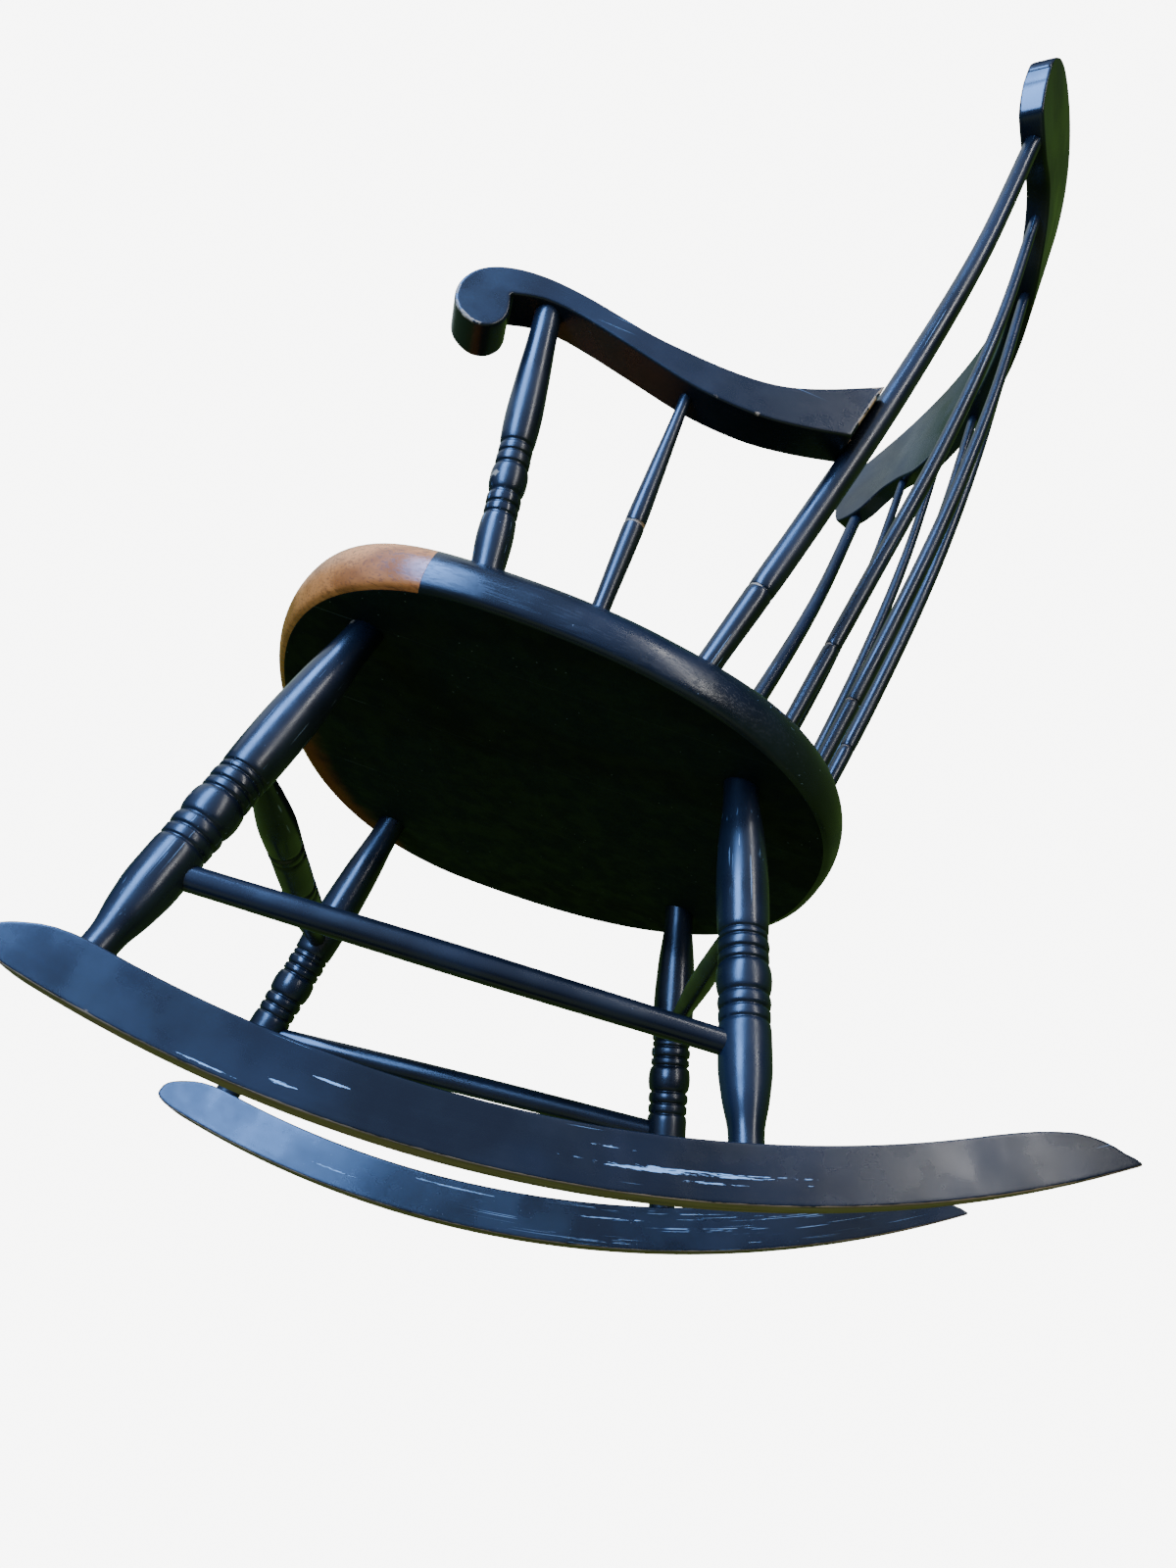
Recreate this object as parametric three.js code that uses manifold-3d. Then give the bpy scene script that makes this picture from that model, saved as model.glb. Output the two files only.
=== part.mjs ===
// Boston rocker: plank seat, turned legs and stretchers, bent back, scrolled arms, two rockers.
// Everything is drawn in the seat's own frame (mm, seat underside at z = 0, front towards -y, the
// sitter's left towards +x), then tipped back into the attitude the chair stands in at rest.
import * as THREE from 'three';
import { mergeVertices } from 'three/addons/utils/BufferGeometryUtils.js';
import Module from 'manifold-3d';

const wasm = await Module();
wasm.setup();

// Driving dimensions

const GAP = 0.3;                    // clearance round every tenon and at every butt joint
const END_GAP = 1;                  // clearance at the bottom of a blind socket
const COPE_GAP = 0.55;              // clearance where the arm's rear end is hollowed round the back post
const BLACK_PAINT = 0x141518;
const BARE_WOOD = 0xb08a5a;

const REST_RAKE_DEG = 10.7;         // how far the seat leans back when the chair stands still

const SEAT_HALF_WIDTH = 255;
const SEAT_FRONT = 182;             // from the widest point of the plank to its front
const SEAT_REAR = 294;              // and to its rear
const SEAT_CENTRE_Y = 5;
const SEAT_THICKNESS = 42;
const SEAT_SQUARENESS = 2.3;        // 2 would be an ellipse
const SEAT_FRONT_ROLL = [9, 7];     // how far the rolled front edge stands out and up beyond the sides
const SEAT_REAR_ROLL = [5, 2.5];
const SEAT_DISH = 7;                // depth of the saddle in the middle
const SADDLE_EDGE = 0.88;           // share of the outline where the saddle begins
const SEAT_SEGMENTS = 44;

const ROCKER_RADIUS = 947;          // of the curved underside
const ROCKER_CENTRE_Z = 613.4;      // height of that curve's centre above the seat's underside
const ROCKER_HEIGHT = 36;
const ROCKER_THICKNESS = 34;
const ROCKER_STEP_DEG = 2.17;       // one flat facet; the middle of one is the resting flat
const ROCKER_FACETS_AHEAD = 9.5;    // facets from the middle of the resting one to the front nose
const ROCKER_FACETS_BEHIND = 10.5;
const ROCKER_EDGE = 1.6;
// The noses: degrees from the end of the underside, and height above it.
const ROCKER_FRONT_NOSE = [[-0.95, 0.8], [-1.35, 2.5], [-1.6, 6], [-1.62, 11], [-1.35, 19], [-0.8, 25],
  [-0.2, 30], [0.5, 33.5], [1.5, 35.6]];
const ROCKER_REAR_NOSE = [[0, 2.5], [-0.6, 10.5], [-1.3, 20.4], [-2.4, 29], [-4.1, 34.2]];
const ROCKER_UPPER_ENDS = [2.6, -5.6];
const ROCKER_UPPER_STEPS = 18;

const FRONT_LEG = { top: [173.2, -90], foot: [215.8, -132.2] };
const REAR_LEG = { top: [138.3, 206], foot: [172.1, 273.6] };
const LEG_TENON = 18;               // into the rocker
const LEG_TOP_TENON = 24;           // into the seat
const LEG_FOOT_R = 11.4;
const LEG_TOP_R = 13.2;
const LEG_SIDES = 12;
const STRETCHER_SIDES = 12;

const SIDE_STRETCHER_AT = [0.791, 0.762];   // share of the way down the front and the rear leg
const FRONT_STRETCHER_AT = 0.463;
const REAR_STRETCHER_AT = 0.405;
const STRETCHER_SHORT = 5;          // a stretcher stops this far from the axis of its leg
const SIDE_STRETCHER_R = [8.8, 9.9];
const FRONT_STRETCHER_R = [7.5, 8.5, 14.8];   // at its ends, where it leaves the leg, and in the middle
const STRETCHER_DRILL = 24;         // a leg's socket reaches this far out from the end of the stretcher
const REAR_STRETCHER_R = [6.8, 9.6];

const ARM_POST = { base: [232, -13.5, 40], top: [268.2, -47.6, 256] };
const ARM_SPINDLE = { base: [222.5, 68.5, 40], top: [254.5, 71.1, 236] };
const ARM_POST_R = [12.2, 10.4];    // at the seat and at the arm
const ARM_SPINDLE_R = [6.8, 4.6];
const ARM_WIDTH = 33;
const ARM_OUTER_X = 255;            // outer face of the arm where it meets the back post
const ARM_REAR_Y = 210;
const ARM_TOE = -0.11;              // the arms open towards the front: x per unit of y
const ARM_EDGE = 2;

const BACK_POST_R = [9.6, 10.8, 7.6];     // at the seat, in the middle, at the crest
const BACK_SPINDLE_R = [6, 6.9, 5];
const POST_SIDES = 12;              // facets round an arm post or a back post
const SPINDLE_SIDES = 8;
const SEAT_TENON = 20;              // of posts and spindles into the seat
const CREST_TENON = 22;
const ARM_TENON = 12;

const CREST_HALF = 297;
const CREST_THICKNESS = 21;
const CREST_Y = 341;                // middle of the rail at its lower edge
const CREST_BEND = 483;             // radius of the bend in plan
const CREST_Z = 635;
const CREST_LEAN = 0.05;
const CREST_EDGE = 2.5;

const DOWEL_R = 4;
const DOWEL_LENGTH = 30;
const DOWEL_SIDES = 10;
const DOWEL_START = 2;              // it starts this far in front of the post's axis
const DOWEL_FALL = -0.22;           // and drops this much per unit of length towards the front
const COPE_SIDES = 16;
const ARM_JOINT_SHARE = 0.38;       // how far up the back post the arm is dowelled to it

// Small tools

const v3 = (a) => new THREE.Vector3(a[0], a[1], a[2]);

function weld(geometry) {
  geometry.deleteAttribute('normal');
  geometry.deleteAttribute('uv');
  return mergeVertices(geometry, 1e-4);
}

function toSolid(geometry) {
  const g = weld(geometry);
  return new wasm.Manifold(new wasm.Mesh({
    numProp: 3,
    vertProperties: new Float32Array(g.getAttribute('position').array),
    triVerts: new Uint32Array(g.index.array),
  }));
}

function fromSolid(solid) {
  const mesh = solid.getMesh();
  const geometry = new THREE.BufferGeometry();
  geometry.setAttribute('position', new THREE.BufferAttribute(mesh.vertProperties, 3));
  geometry.setIndex(new THREE.BufferAttribute(mesh.triVerts, 1));
  return geometry;
}

function cut(geometry, cutters) {
  let solid = toSolid(geometry);
  for (const cutter of cutters) {
    solid = solid.subtract(toSolid(cutter.clone()));
  }
  return fromSolid(solid);
}

function mirrored(geometry) {
  const g = geometry.clone();
  g.applyMatrix4(new THREE.Matrix4().makeScale(-1, 1, 1));
  const index = g.index.array;
  for (let i = 0; i < index.length; i += 3) {
    const swap = index[i];
    index[i] = index[i + 1];
    index[i + 1] = swap;
  }
  return g;
}

const mirrorPoint = (p) => new THREE.Vector3(-p.x, p.y, p.z);

// A turned piece along y: rows of [distance, radius], closed on the axis at both ends.
function turned(rows, sides) {
  const first = rows[0][0];
  const last = rows[rows.length - 1][0];
  const profile = [[first, 0], ...rows, [last, 0]];
  return new THREE.LatheGeometry(profile.map(([s, r]) => new THREE.Vector2(r, s)), sides);
}

// Sets a piece drawn along y from `from` towards `to`.
function along(geometry, from, to) {
  const direction = to.clone().sub(from).normalize();
  const turn = new THREE.Quaternion().setFromUnitVectors(new THREE.Vector3(0, 1, 0), direction);
  geometry.applyQuaternion(turn);
  geometry.translate(from.x, from.y, from.z);
  return geometry;
}

// The hole a round end of radius r needs, from `mouth` going `depth` along `inward`.
function socket(mouth, inward, r, depth, sides = 12, proud = 14) {
  const bore = (r + GAP) / Math.cos(Math.PI / sides);
  const start = mouth.clone().addScaledVector(inward, -proud);
  const end = mouth.clone().addScaledVector(inward, depth + END_GAP);
  return along(turned([[0, bore], [end.distanceTo(start), bore]], sides), start, end);
}

// Bends a piece drawn along y so that its stretch from 0 to the curve's length follows the curve.
function bent(geometry, curve) {
  const length = curve.getLength();
  const position = geometry.getAttribute('position');
  const across = new THREE.Vector3(1, 0, 0);
  for (let i = 0; i < position.count; i += 1) {
    const s = position.getY(i);
    const u = Math.min(Math.max(s / length, 0), 1);
    const tangent = curve.getTangentAt(u);
    const normal = new THREE.Vector3().crossVectors(across, tangent).normalize();
    const side = new THREE.Vector3().crossVectors(tangent, normal);
    const point = curve.getPointAt(u);
    point.addScaledVector(tangent, s - u * length);
    point.addScaledVector(side, position.getX(i));
    point.addScaledVector(normal, position.getZ(i));
    position.setXYZ(i, point.x, point.y, point.z);
  }
  return geometry;
}

// Seat

function seatReach(angle) {
  const c = Math.cos(angle);
  const s = Math.sin(angle);
  const depth = s < 0 ? SEAT_FRONT : SEAT_REAR;
  const n = SEAT_SQUARENESS;
  return ((Math.abs(c) / SEAT_HALF_WIDTH) ** n + (Math.abs(s) / depth) ** n) ** (-1 / n);
}

function seatRoll(angle) {
  const s = Math.sin(angle);
  const front = THREE.MathUtils.smoothstep(-s, 0.05, 0.6);
  const rear = THREE.MathUtils.smoothstep(s, 0.45, 0.85);
  return SEAT_FRONT_ROLL.map((f, i) => f * front + SEAT_REAR_ROLL[i] * rear);
}

// Rows of share of the outline, millimetres beyond it, height.
const SEAT_RIM = [
  [1, -3, 0],
  [1, 1.5, 2],
  [1, 4.5, 9],
  [1, 5, 16],
  [1, 3.5, 24],
  [1, -0.5, 32],
  [1, -7.5, 38.5],
  [1, -16, 41.4],
  [1, -26, SEAT_THICKNESS],
];

function seatBlank() {
  const saddleZ = (share) => SEAT_THICKNESS - SEAT_DISH * (1 - (share / SADDLE_EDGE) ** 2) ** 1.3;
  const saddle = [0.74, 0.56, 0.34, 0].map((share) => [share, 0, saddleZ(share)]);
  const rows = [[0, 0, 0], ...SEAT_RIM, [0.86, 0, SEAT_THICKNESS], ...saddle];
  const profile = rows.map(([share, , z]) => new THREE.Vector2(Math.min(share, 1), z));
  const geometry = new THREE.LatheGeometry(profile, SEAT_SEGMENTS);
  const position = geometry.getAttribute('position');
  for (let i = 0; i < position.count; i += 1) {
    const [share, beyond, z] = rows[i % rows.length];
    const angle = 2 * Math.PI * Math.floor(i / rows.length) / SEAT_SEGMENTS;
    const [out, up] = seatRoll(angle);
    const rise = z / SEAT_THICKNESS;
    const reach = share * (seatReach(angle) + out * rise) + beyond;
    const height = z + up * rise * share ** 4;
    position.setXYZ(i, reach * Math.cos(angle), SEAT_CENTRE_Y + reach * Math.sin(angle), height);
  }
  return geometry;
}

// Rockers

const rad = THREE.MathUtils.degToRad;
const rockerX = (y) => {
  const slope = (REAR_LEG.foot[0] - FRONT_LEG.foot[0]) / (REAR_LEG.foot[1] - FRONT_LEG.foot[1]);
  return FRONT_LEG.foot[0] + slope * (y - FRONT_LEG.foot[1]);
};
const rockerTopZ = (y) => ROCKER_CENTRE_Z - Math.sqrt((ROCKER_RADIUS - ROCKER_HEIGHT) ** 2 - y * y);
const onArc = (radius, deg) => {
  const a = rad(deg);
  return new THREE.Vector2(radius * Math.sin(a), ROCKER_CENTRE_Z - radius * Math.cos(a));
};

function rockerBlank() {
  const frontDeg = REST_RAKE_DEG - ROCKER_FACETS_AHEAD * ROCKER_STEP_DEG;
  const rearDeg = REST_RAKE_DEG + ROCKER_FACETS_BEHIND * ROCKER_STEP_DEG;
  const facets = ROCKER_FACETS_AHEAD + ROCKER_FACETS_BEHIND;
  const facetEndR = ROCKER_RADIUS / Math.cos(rad(ROCKER_STEP_DEG / 2));
  const under = [];
  for (let i = 0; i <= facets; i += 1) {
    under.push(onArc(facetEndR, frontDeg + i * ROCKER_STEP_DEG));
  }
  const upperFrom = rearDeg + ROCKER_UPPER_ENDS[1];
  const upperTo = frontDeg + ROCKER_UPPER_ENDS[0];
  const upper = [];
  for (let i = 0; i <= ROCKER_UPPER_STEPS; i += 1) {
    const deg = upperFrom + (upperTo - upperFrom) * i / ROCKER_UPPER_STEPS;
    upper.push(onArc(ROCKER_RADIUS - ROCKER_HEIGHT, deg));
  }
  const noseRear = ROCKER_REAR_NOSE.map(([deg, up]) => onArc(ROCKER_RADIUS - up, rearDeg + deg));
  const noseFront = ROCKER_FRONT_NOSE.map(([deg, up]) => onArc(ROCKER_RADIUS - up, frontDeg + deg)).reverse();
  const outline = [...under, ...noseRear, ...upper, ...noseFront];
  const geometry = new THREE.ExtrudeGeometry(new THREE.Shape(outline), {
    depth: ROCKER_THICKNESS - 2 * ROCKER_EDGE,
    bevelEnabled: true,
    bevelThickness: ROCKER_EDGE,
    bevelSize: ROCKER_EDGE,
    bevelOffset: -ROCKER_EDGE,
    bevelSegments: 1,
  });
  geometry.translate(0, 0, -ROCKER_THICKNESS / 2 + ROCKER_EDGE);
  // The rockers toe in towards the rear, but their facets stay square to the way the chair rolls.
  const basis = new THREE.Matrix4().makeBasis(
    new THREE.Vector3(rockerX(1) - rockerX(0), 1, 0),
    new THREE.Vector3(0, 0, 1),
    new THREE.Vector3(1, 0, 0),
  );
  geometry.applyMatrix4(basis);
  geometry.translate(rockerX(0), 0, 0);
  return geometry;
}

// Legs: rows of height above the foot and radius; the turned band is the same on every leg.

const LEG_FOOT_ROWS = [[6, LEG_FOOT_R], [30, 15.4], [52, 17.7], [72, 17.7], [78.6, 17.2]];
const LEG_BAND = [
  [80.2, 15.8], [82, 17.3], [87.4, 17.4], [89.2, 15.6], [91, 17.4], [94.4, 17.9], [97.8, 17.4], [99.6, 15.7],
  [101.6, 17.5], [106.5, 18.6], [111, 18.9], [115.5, 18.6], [120.4, 17.5], [122.3, 15.7], [124.1, 17.4],
  [128.3, 17.4], [130, 15.6], [131.7, 17.4], [134.8, 17.8], [137.9, 17.4], [139.6, 15.7], [141, 17.1],
  [143.4, 17.1], [144.8, 15.8], [146.4, 17.5],
];
const LEG_SWELL = [[0.28, 18.5], [0.58, 17]];   // share of the free length above the band, radius

function legEnds(leg) {
  return {
    foot: new THREE.Vector3(leg.foot[0], leg.foot[1], rockerTopZ(leg.foot[1])),
    top: new THREE.Vector3(leg.top[0], leg.top[1], 0),
  };
}

function legRows(length) {
  const bandTop = LEG_BAND[LEG_BAND.length - 1][0];
  return [
    [-LEG_TENON, LEG_FOOT_R],
    ...LEG_FOOT_ROWS,
    ...LEG_BAND,
    ...LEG_SWELL.map(([share, r]) => [bandTop + share * (length - bandTop), r]),
    [length - 8, LEG_TOP_R],
    [length + LEG_TOP_TENON, LEG_TOP_R],
  ];
}

const legPoint = (leg, share) => {
  const { foot, top } = legEnds(leg);
  return top.lerp(foot, share);
};

// Stretchers run between two points on leg axes, stopping short of each.
function stretcher(from, to, rowsFor) {
  const length = from.distanceTo(to);
  return along(turned(rowsFor(length), STRETCHER_SIDES), from, to);
}

function plainRows([thin, thick]) {
  return (length) => [
    [STRETCHER_SHORT, thin],
    [24, thin],
    [0.25 * length, 0.5 * (thin + thick)],
    [0.5 * length, thick],
    [0.75 * length, 0.5 * (thin + thick)],
    [length - 24, thin],
    [length - STRETCHER_SHORT, thin],
  ];
}

function frontRows([thin, neck, thick]) {
  return (length) => {
    const half = [
      [STRETCHER_SHORT, thin],
      [24, neck],
      [0.16 * length, 0.62 * thick + 0.38 * thin],
      [0.28 * length, thick],
      [0.36 * length, 0.97 * thick],
      [0.373 * length, thick - 2],
      [0.382 * length, thick - 0.4],
      [0.398 * length, thick - 0.4],
      [0.407 * length, thick - 2],
      [0.42 * length, thick - 0.7],
    ];
    const other = half.map(([s, r]) => [length - s, r]).reverse();
    return [...half, [0.5 * length, thick - 0.5], ...other];
  };
}

// Arm posts and arm spindles

const ARM_POST_BAND = [
  [44, 12.4], [46.6, 11.2], [48.4, 12.3], [52.6, 12.3], [54.4, 11.2], [56.2, 12.5], [61.6, 12.5], [63.6, 11],
  [67, 12.6], [74, 13.7], [79, 13.7], [84.5, 12.9], [87, 11.2], [89, 12.6], [94.6, 12.6], [96.4, 11.2],
  [98.2, 12.4], [102.6, 12.4], [104.6, 11.2], [107, 12.7],
];

function armPostRows(length) {
  return [
    [-SEAT_TENON, ARM_POST_R[0]],
    [6, ARM_POST_R[0]],
    [28, 13.2],
    ...ARM_POST_BAND,
    [130, 13.7],
    [158, 12.8],
    [length - 6, ARM_POST_R[1]],
    [length + ARM_TENON, ARM_POST_R[1]],
  ];
}

function armSpindleRows(length) {
  return [
    [-SEAT_TENON, ARM_SPINDLE_R[0]],
    [6, ARM_SPINDLE_R[0]],
    [0.41 * length - 2, 7.9],
    [0.41 * length, 7.2],
    [0.41 * length + 2, 7.8],
    [0.62 * length, 6.7],
    [length - 6, ARM_SPINDLE_R[1]],
    [length + ARM_TENON, ARM_SPINDLE_R[1]],
  ];
}

// Arms: the side outline, y then z, of the sawn and scrolled board.

const ARM_UPPER = [[210.2, 309.4], [169, 283.5], [142, 270], [119.5, 264], [91, 261.5], [62, 262], [33, 264],
  [7, 268.5], [-24, 274], [-54, 276], [-77, 272.8], [-94, 265.5], [-105, 255.2], [-110.8, 241], [-110.6, 227],
  [-106, 216.8], [-96.5, 209], [-86, 206.3], [-76.5, 210], [-70.6, 218.5], [-69.4, 228], [-72, 239.4],
  [-73.8, 244.5]];
const ARM_LOWER = [[-73, 247], [-60, 252], [-48.2, 254.8], [-31.4, 254.7], [-6.6, 250.6], [29.6, 242.5],
  [68, 233.8], [93, 230.8], [129, 231.2], [163, 238], [197, 248.5]];

function armBlank() {
  const shape = new THREE.Shape();
  const asPoints = (list) => list.map(([y, z]) => new THREE.Vector2(y, z));
  shape.moveTo(ARM_UPPER[0][0], ARM_UPPER[0][1]);
  shape.splineThru(asPoints(ARM_UPPER.slice(1)));
  shape.lineTo(ARM_LOWER[0][0], ARM_LOWER[0][1]);
  shape.splineThru(asPoints(ARM_LOWER.slice(1)));
  shape.closePath();
  const geometry = new THREE.ExtrudeGeometry(shape, {
    depth: ARM_WIDTH - 2 * ARM_EDGE,
    bevelEnabled: true,
    bevelThickness: ARM_EDGE,
    bevelSize: ARM_EDGE,
    bevelOffset: -ARM_EDGE,
    bevelSegments: 1,
    curveSegments: 1,
  });
  geometry.translate(0, 0, -ARM_WIDTH + ARM_EDGE);
  const basis = new THREE.Matrix4().makeBasis(
    new THREE.Vector3(ARM_TOE, 1, 0),
    new THREE.Vector3(0, 0, 1),
    new THREE.Vector3(1, -ARM_TOE, 0).normalize(),
  );
  geometry.applyMatrix4(basis);
  geometry.translate(ARM_OUTER_X - ARM_TOE * ARM_REAR_Y, 0, 0);
  return geometry;
}

// Back posts and spindles: points from the seat's top up to the crest's lower edge.

const POST_PATH = [[211, 152, 40], [223.7, 190, 190], [237.7, 225.2, 341], [250.9, 253.5, 492],
  [261.6, 270.6, 642]];
const SPINDLE_PATHS = [
  [[156.7, 222.2, 40], [164.7, 250.3, 194], [175.2, 277.7, 348], [183.3, 296.6, 501], [186, 305, 655]],
  [[102, 258.2, 40], [108.5, 284.5, 190], [114.2, 306.7, 339], [117.6, 321.4, 488], [118.5, 327.5, 638]],
  [[38, 274.1, 40], [40.9, 300.8, 190], [43.3, 322.1, 339], [44.7, 335, 488], [45, 340.5, 638]],
];
const RING_HEIGHTS = [76, 90, 86, 84];     // of the groove, from the outer post inwards
const BACK_STEPS = 7;

const curveThrough = (points) => new THREE.CatmullRomCurve3(points.map(v3), false, 'centripetal');

function backRows(length, [foot, middle, head], ring, depth) {
  const atRing = 0.35 * foot + 0.65 * middle;
  const rows = [[-SEAT_TENON, foot], [6, foot]];
  rows.push([ring - 2.4, atRing], [ring, atRing - 1], [ring + 2.4, atRing]);
  const start = ring + 24;
  for (let i = 0; i <= BACK_STEPS; i += 1) {
    const t = i / BACK_STEPS;
    const s = start + t * (length - 10 - start);
    const fall = THREE.MathUtils.smoothstep(t, 0.15, 1);
    rows.push([s, middle + (head - middle) * fall]);
  }
  rows.push([length + depth, head]);
  return rows;
}

function backPiece(path, radii, ring, sides) {
  const curve = curveThrough(path);
  return bent(turned(backRows(curve.getLength(), radii, ring, CREST_TENON), sides), curve);
}

function backSockets(path, radii, sides) {
  const curve = curveThrough(path);
  const down = curve.getTangentAt(0).negate();
  const up = curve.getTangentAt(1);
  return {
    seat: socket(curve.getPointAt(0), down, radii[0], SEAT_TENON, sides),
    crest: socket(curve.getPointAt(1), up, radii[2], CREST_TENON, sides),
  };
}

// Crest rail: height of its lower and upper edge at distance x from the middle.

const CREST_LOWER = [[0, 637], [124, 637], [152, 639.5], [168, 646], [190, 654], [212, 656], [229, 651],
  [247, 642.5], [262, 641], [276, 642], [284, 645], [290.5, 657], [295, 674], [CREST_HALF, 688]];
const CREST_UPPER = [[0, 779], [84, 775], [158, 767], [210, 757], [252, 746], [272, 738], [284, 727],
  [292, 712], [CREST_HALF, 698]];

function heightAt(table, x) {
  const i = Math.max(1, table.findIndex((row) => row[0] >= x - 1e-6));
  const [x0, z0] = table[i - 1];
  const [x1, z1] = table[i];
  return z0 + (z1 - z0) * (x - x0) / (x1 - x0);
}

// Columns across half the rail, closer together where its outline turns.
const CREST_STATIONS = [20, 38, 56, 76, 98, 124, 152, 168, 190, 212, 229, 238, 247, 262, 276, 284, 290.5, 295,
  CREST_HALF];
const SECTION = 100;                // stands for the whole height between the two rounded edges

function crestBlank() {
  const r = CREST_EDGE;
  const t = CREST_THICKNESS / 2;
  const corner = r / 3;
  const lower = [[-t, r], [-t + corner, corner], [-t + r, 0], [t - r, 0], [t - corner, corner], [t, r]];
  const upper = lower.map(([a, b]) => [a, SECTION - b]).reverse();
  const section = new THREE.Shape([...lower, ...upper].map(([a, b]) => new THREE.Vector2(a, b)));
  const columns = [...CREST_STATIONS.map((x) => -x).reverse(), 0, ...CREST_STATIONS];
  const steps = columns.length - 1;
  const geometry = new THREE.ExtrudeGeometry(section, { depth: steps, steps, bevelEnabled: false });
  const position = geometry.getAttribute('position');
  for (let i = 0; i < position.count; i += 1) {
    const x = columns[Math.round(position.getZ(i))];
    const across = position.getX(i);
    const h = position.getY(i);
    const low = heightAt(CREST_LOWER, Math.abs(x)) + h;
    const high = heightAt(CREST_UPPER, Math.abs(x)) + h - SECTION;
    const z = h < SECTION / 2 ? low : high;
    const y = CREST_Y - x * x / (2 * CREST_BEND) + CREST_LEAN * (z - CREST_Z);
    const turn = Math.atan(x / CREST_BEND);
    position.setXYZ(i, x + across * Math.sin(turn), y + across * Math.cos(turn), z);
  }
  return geometry;
}

// Assembly

const chair = new THREE.Group();
chair.name = 'rocking_chair';

function place(name, geometry, colour = BLACK_PAINT) {
  const material = new THREE.MeshStandardMaterial({ color: colour, roughness: 0.42, metalness: 0 });
  const mesh = new THREE.Mesh(weld(geometry), material);
  mesh.name = name;
  chair.add(mesh);
}

function placePair(name, geometry, colour = BLACK_PAINT) {
  const left = weld(geometry);
  place(`${name}_left`, left.clone(), colour);
  place(`${name}_right`, mirrored(left), colour);
}

const seatCutters = [];
const rockerCutters = [];
const armCutters = [];
const crestCutters = [];
const legCutters = { front: [], rear: [] };

function bothSides(list, cutter) {
  const solid = weld(cutter);
  list.push(solid, mirrored(solid));
}

// Stretchers first, because the legs are drilled for them.
const drill = (cutters, from, to, radius) => {
  const inward = from.clone().sub(to).normalize();
  const mouth = from.clone().addScaledVector(inward, -STRETCHER_SHORT);
  cutters.push(socket(mouth, inward, radius, 0, STRETCHER_SIDES, STRETCHER_DRILL));
};

const sideFrom = legPoint(FRONT_LEG, SIDE_STRETCHER_AT[0]);
const sideTo = legPoint(REAR_LEG, SIDE_STRETCHER_AT[1]);
drill(legCutters.front, sideFrom, sideTo, SIDE_STRETCHER_R[0]);
drill(legCutters.rear, sideTo, sideFrom, SIDE_STRETCHER_R[0]);
placePair('side_stretcher', stretcher(sideFrom, sideTo, plainRows(SIDE_STRETCHER_R)));

const frontFrom = legPoint(FRONT_LEG, FRONT_STRETCHER_AT);
const frontTo = mirrorPoint(frontFrom);
drill(legCutters.front, frontFrom, frontTo, FRONT_STRETCHER_R[1]);
place('front_stretcher', stretcher(frontFrom, frontTo, frontRows(FRONT_STRETCHER_R)));

const rearFrom = legPoint(REAR_LEG, REAR_STRETCHER_AT);
const rearTo = mirrorPoint(rearFrom);
drill(legCutters.rear, rearFrom, rearTo, REAR_STRETCHER_R[0]);
place('rear_stretcher', stretcher(rearFrom, rearTo, plainRows(REAR_STRETCHER_R)));

for (const [key, leg] of [['front', FRONT_LEG], ['rear', REAR_LEG]]) {
  const { foot, top } = legEnds(leg);
  const up = top.clone().sub(foot).normalize();
  const rows = legRows(foot.distanceTo(top));
  const blank = along(turned(rows, LEG_SIDES), foot, top);
  placePair(`leg_${key}`, cut(blank, legCutters[key]));
  rockerCutters.push(socket(foot, up.clone().negate(), LEG_FOOT_R, LEG_TENON, LEG_SIDES));
  bothSides(seatCutters, socket(top, up, LEG_TOP_R, LEG_TOP_TENON, LEG_SIDES));
}
placePair('rocker', cut(rockerBlank(), rockerCutters));

for (const [name, ends, rowsFor, radii, sides] of [
  ['arm_post', ARM_POST, armPostRows, ARM_POST_R, POST_SIDES],
  ['arm_spindle', ARM_SPINDLE, armSpindleRows, ARM_SPINDLE_R, SPINDLE_SIDES],
]) {
  const base = v3(ends.base);
  const top = v3(ends.top);
  const up = top.clone().sub(base).normalize();
  placePair(name, along(turned(rowsFor(base.distanceTo(top)), sides), base, top));
  bothSides(seatCutters, socket(base, up.clone().negate(), radii[0], SEAT_TENON, sides));
  armCutters.push(socket(top, up, radii[1], ARM_TENON, sides));
}

const postCurve = curveThrough(POST_PATH);
const postSockets = backSockets(POST_PATH, BACK_POST_R, POST_SIDES);
bothSides(seatCutters, postSockets.seat);
bothSides(crestCutters, postSockets.crest);
const post = backPiece(POST_PATH, BACK_POST_R, RING_HEIGHTS[0], POST_SIDES);

// The arm's rear end is coped to the post and dowelled to it.
const postAtArm = postCurve.getPointAt(ARM_JOINT_SHARE);
const forward = new THREE.Vector3(-ARM_TOE, -1, DOWEL_FALL).normalize();
const dowelFrom = postAtArm.clone().addScaledVector(forward, DOWEL_START);
const dowelTo = dowelFrom.clone().addScaledVector(forward, DOWEL_LENGTH);
const dowel = turned([[0, DOWEL_R], [DOWEL_LENGTH, DOWEL_R]], DOWEL_SIDES);
placePair('arm_dowel', along(dowel, dowelFrom, dowelTo), BARE_WOOD);
const dowelHole = socket(dowelFrom, forward, DOWEL_R, DOWEL_LENGTH, DOWEL_SIDES, END_GAP);
placePair('back_post', cut(post, [dowelHole]));

const copeR = BACK_POST_R.map((r) => r + COPE_GAP);
const copeRows = backRows(postCurve.getLength(), copeR, RING_HEIGHTS[0], CREST_TENON);
const cope = bent(turned(copeRows, COPE_SIDES), postCurve);
placePair('arm', cut(armBlank(), [...armCutters, cope, dowelHole]));

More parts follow.
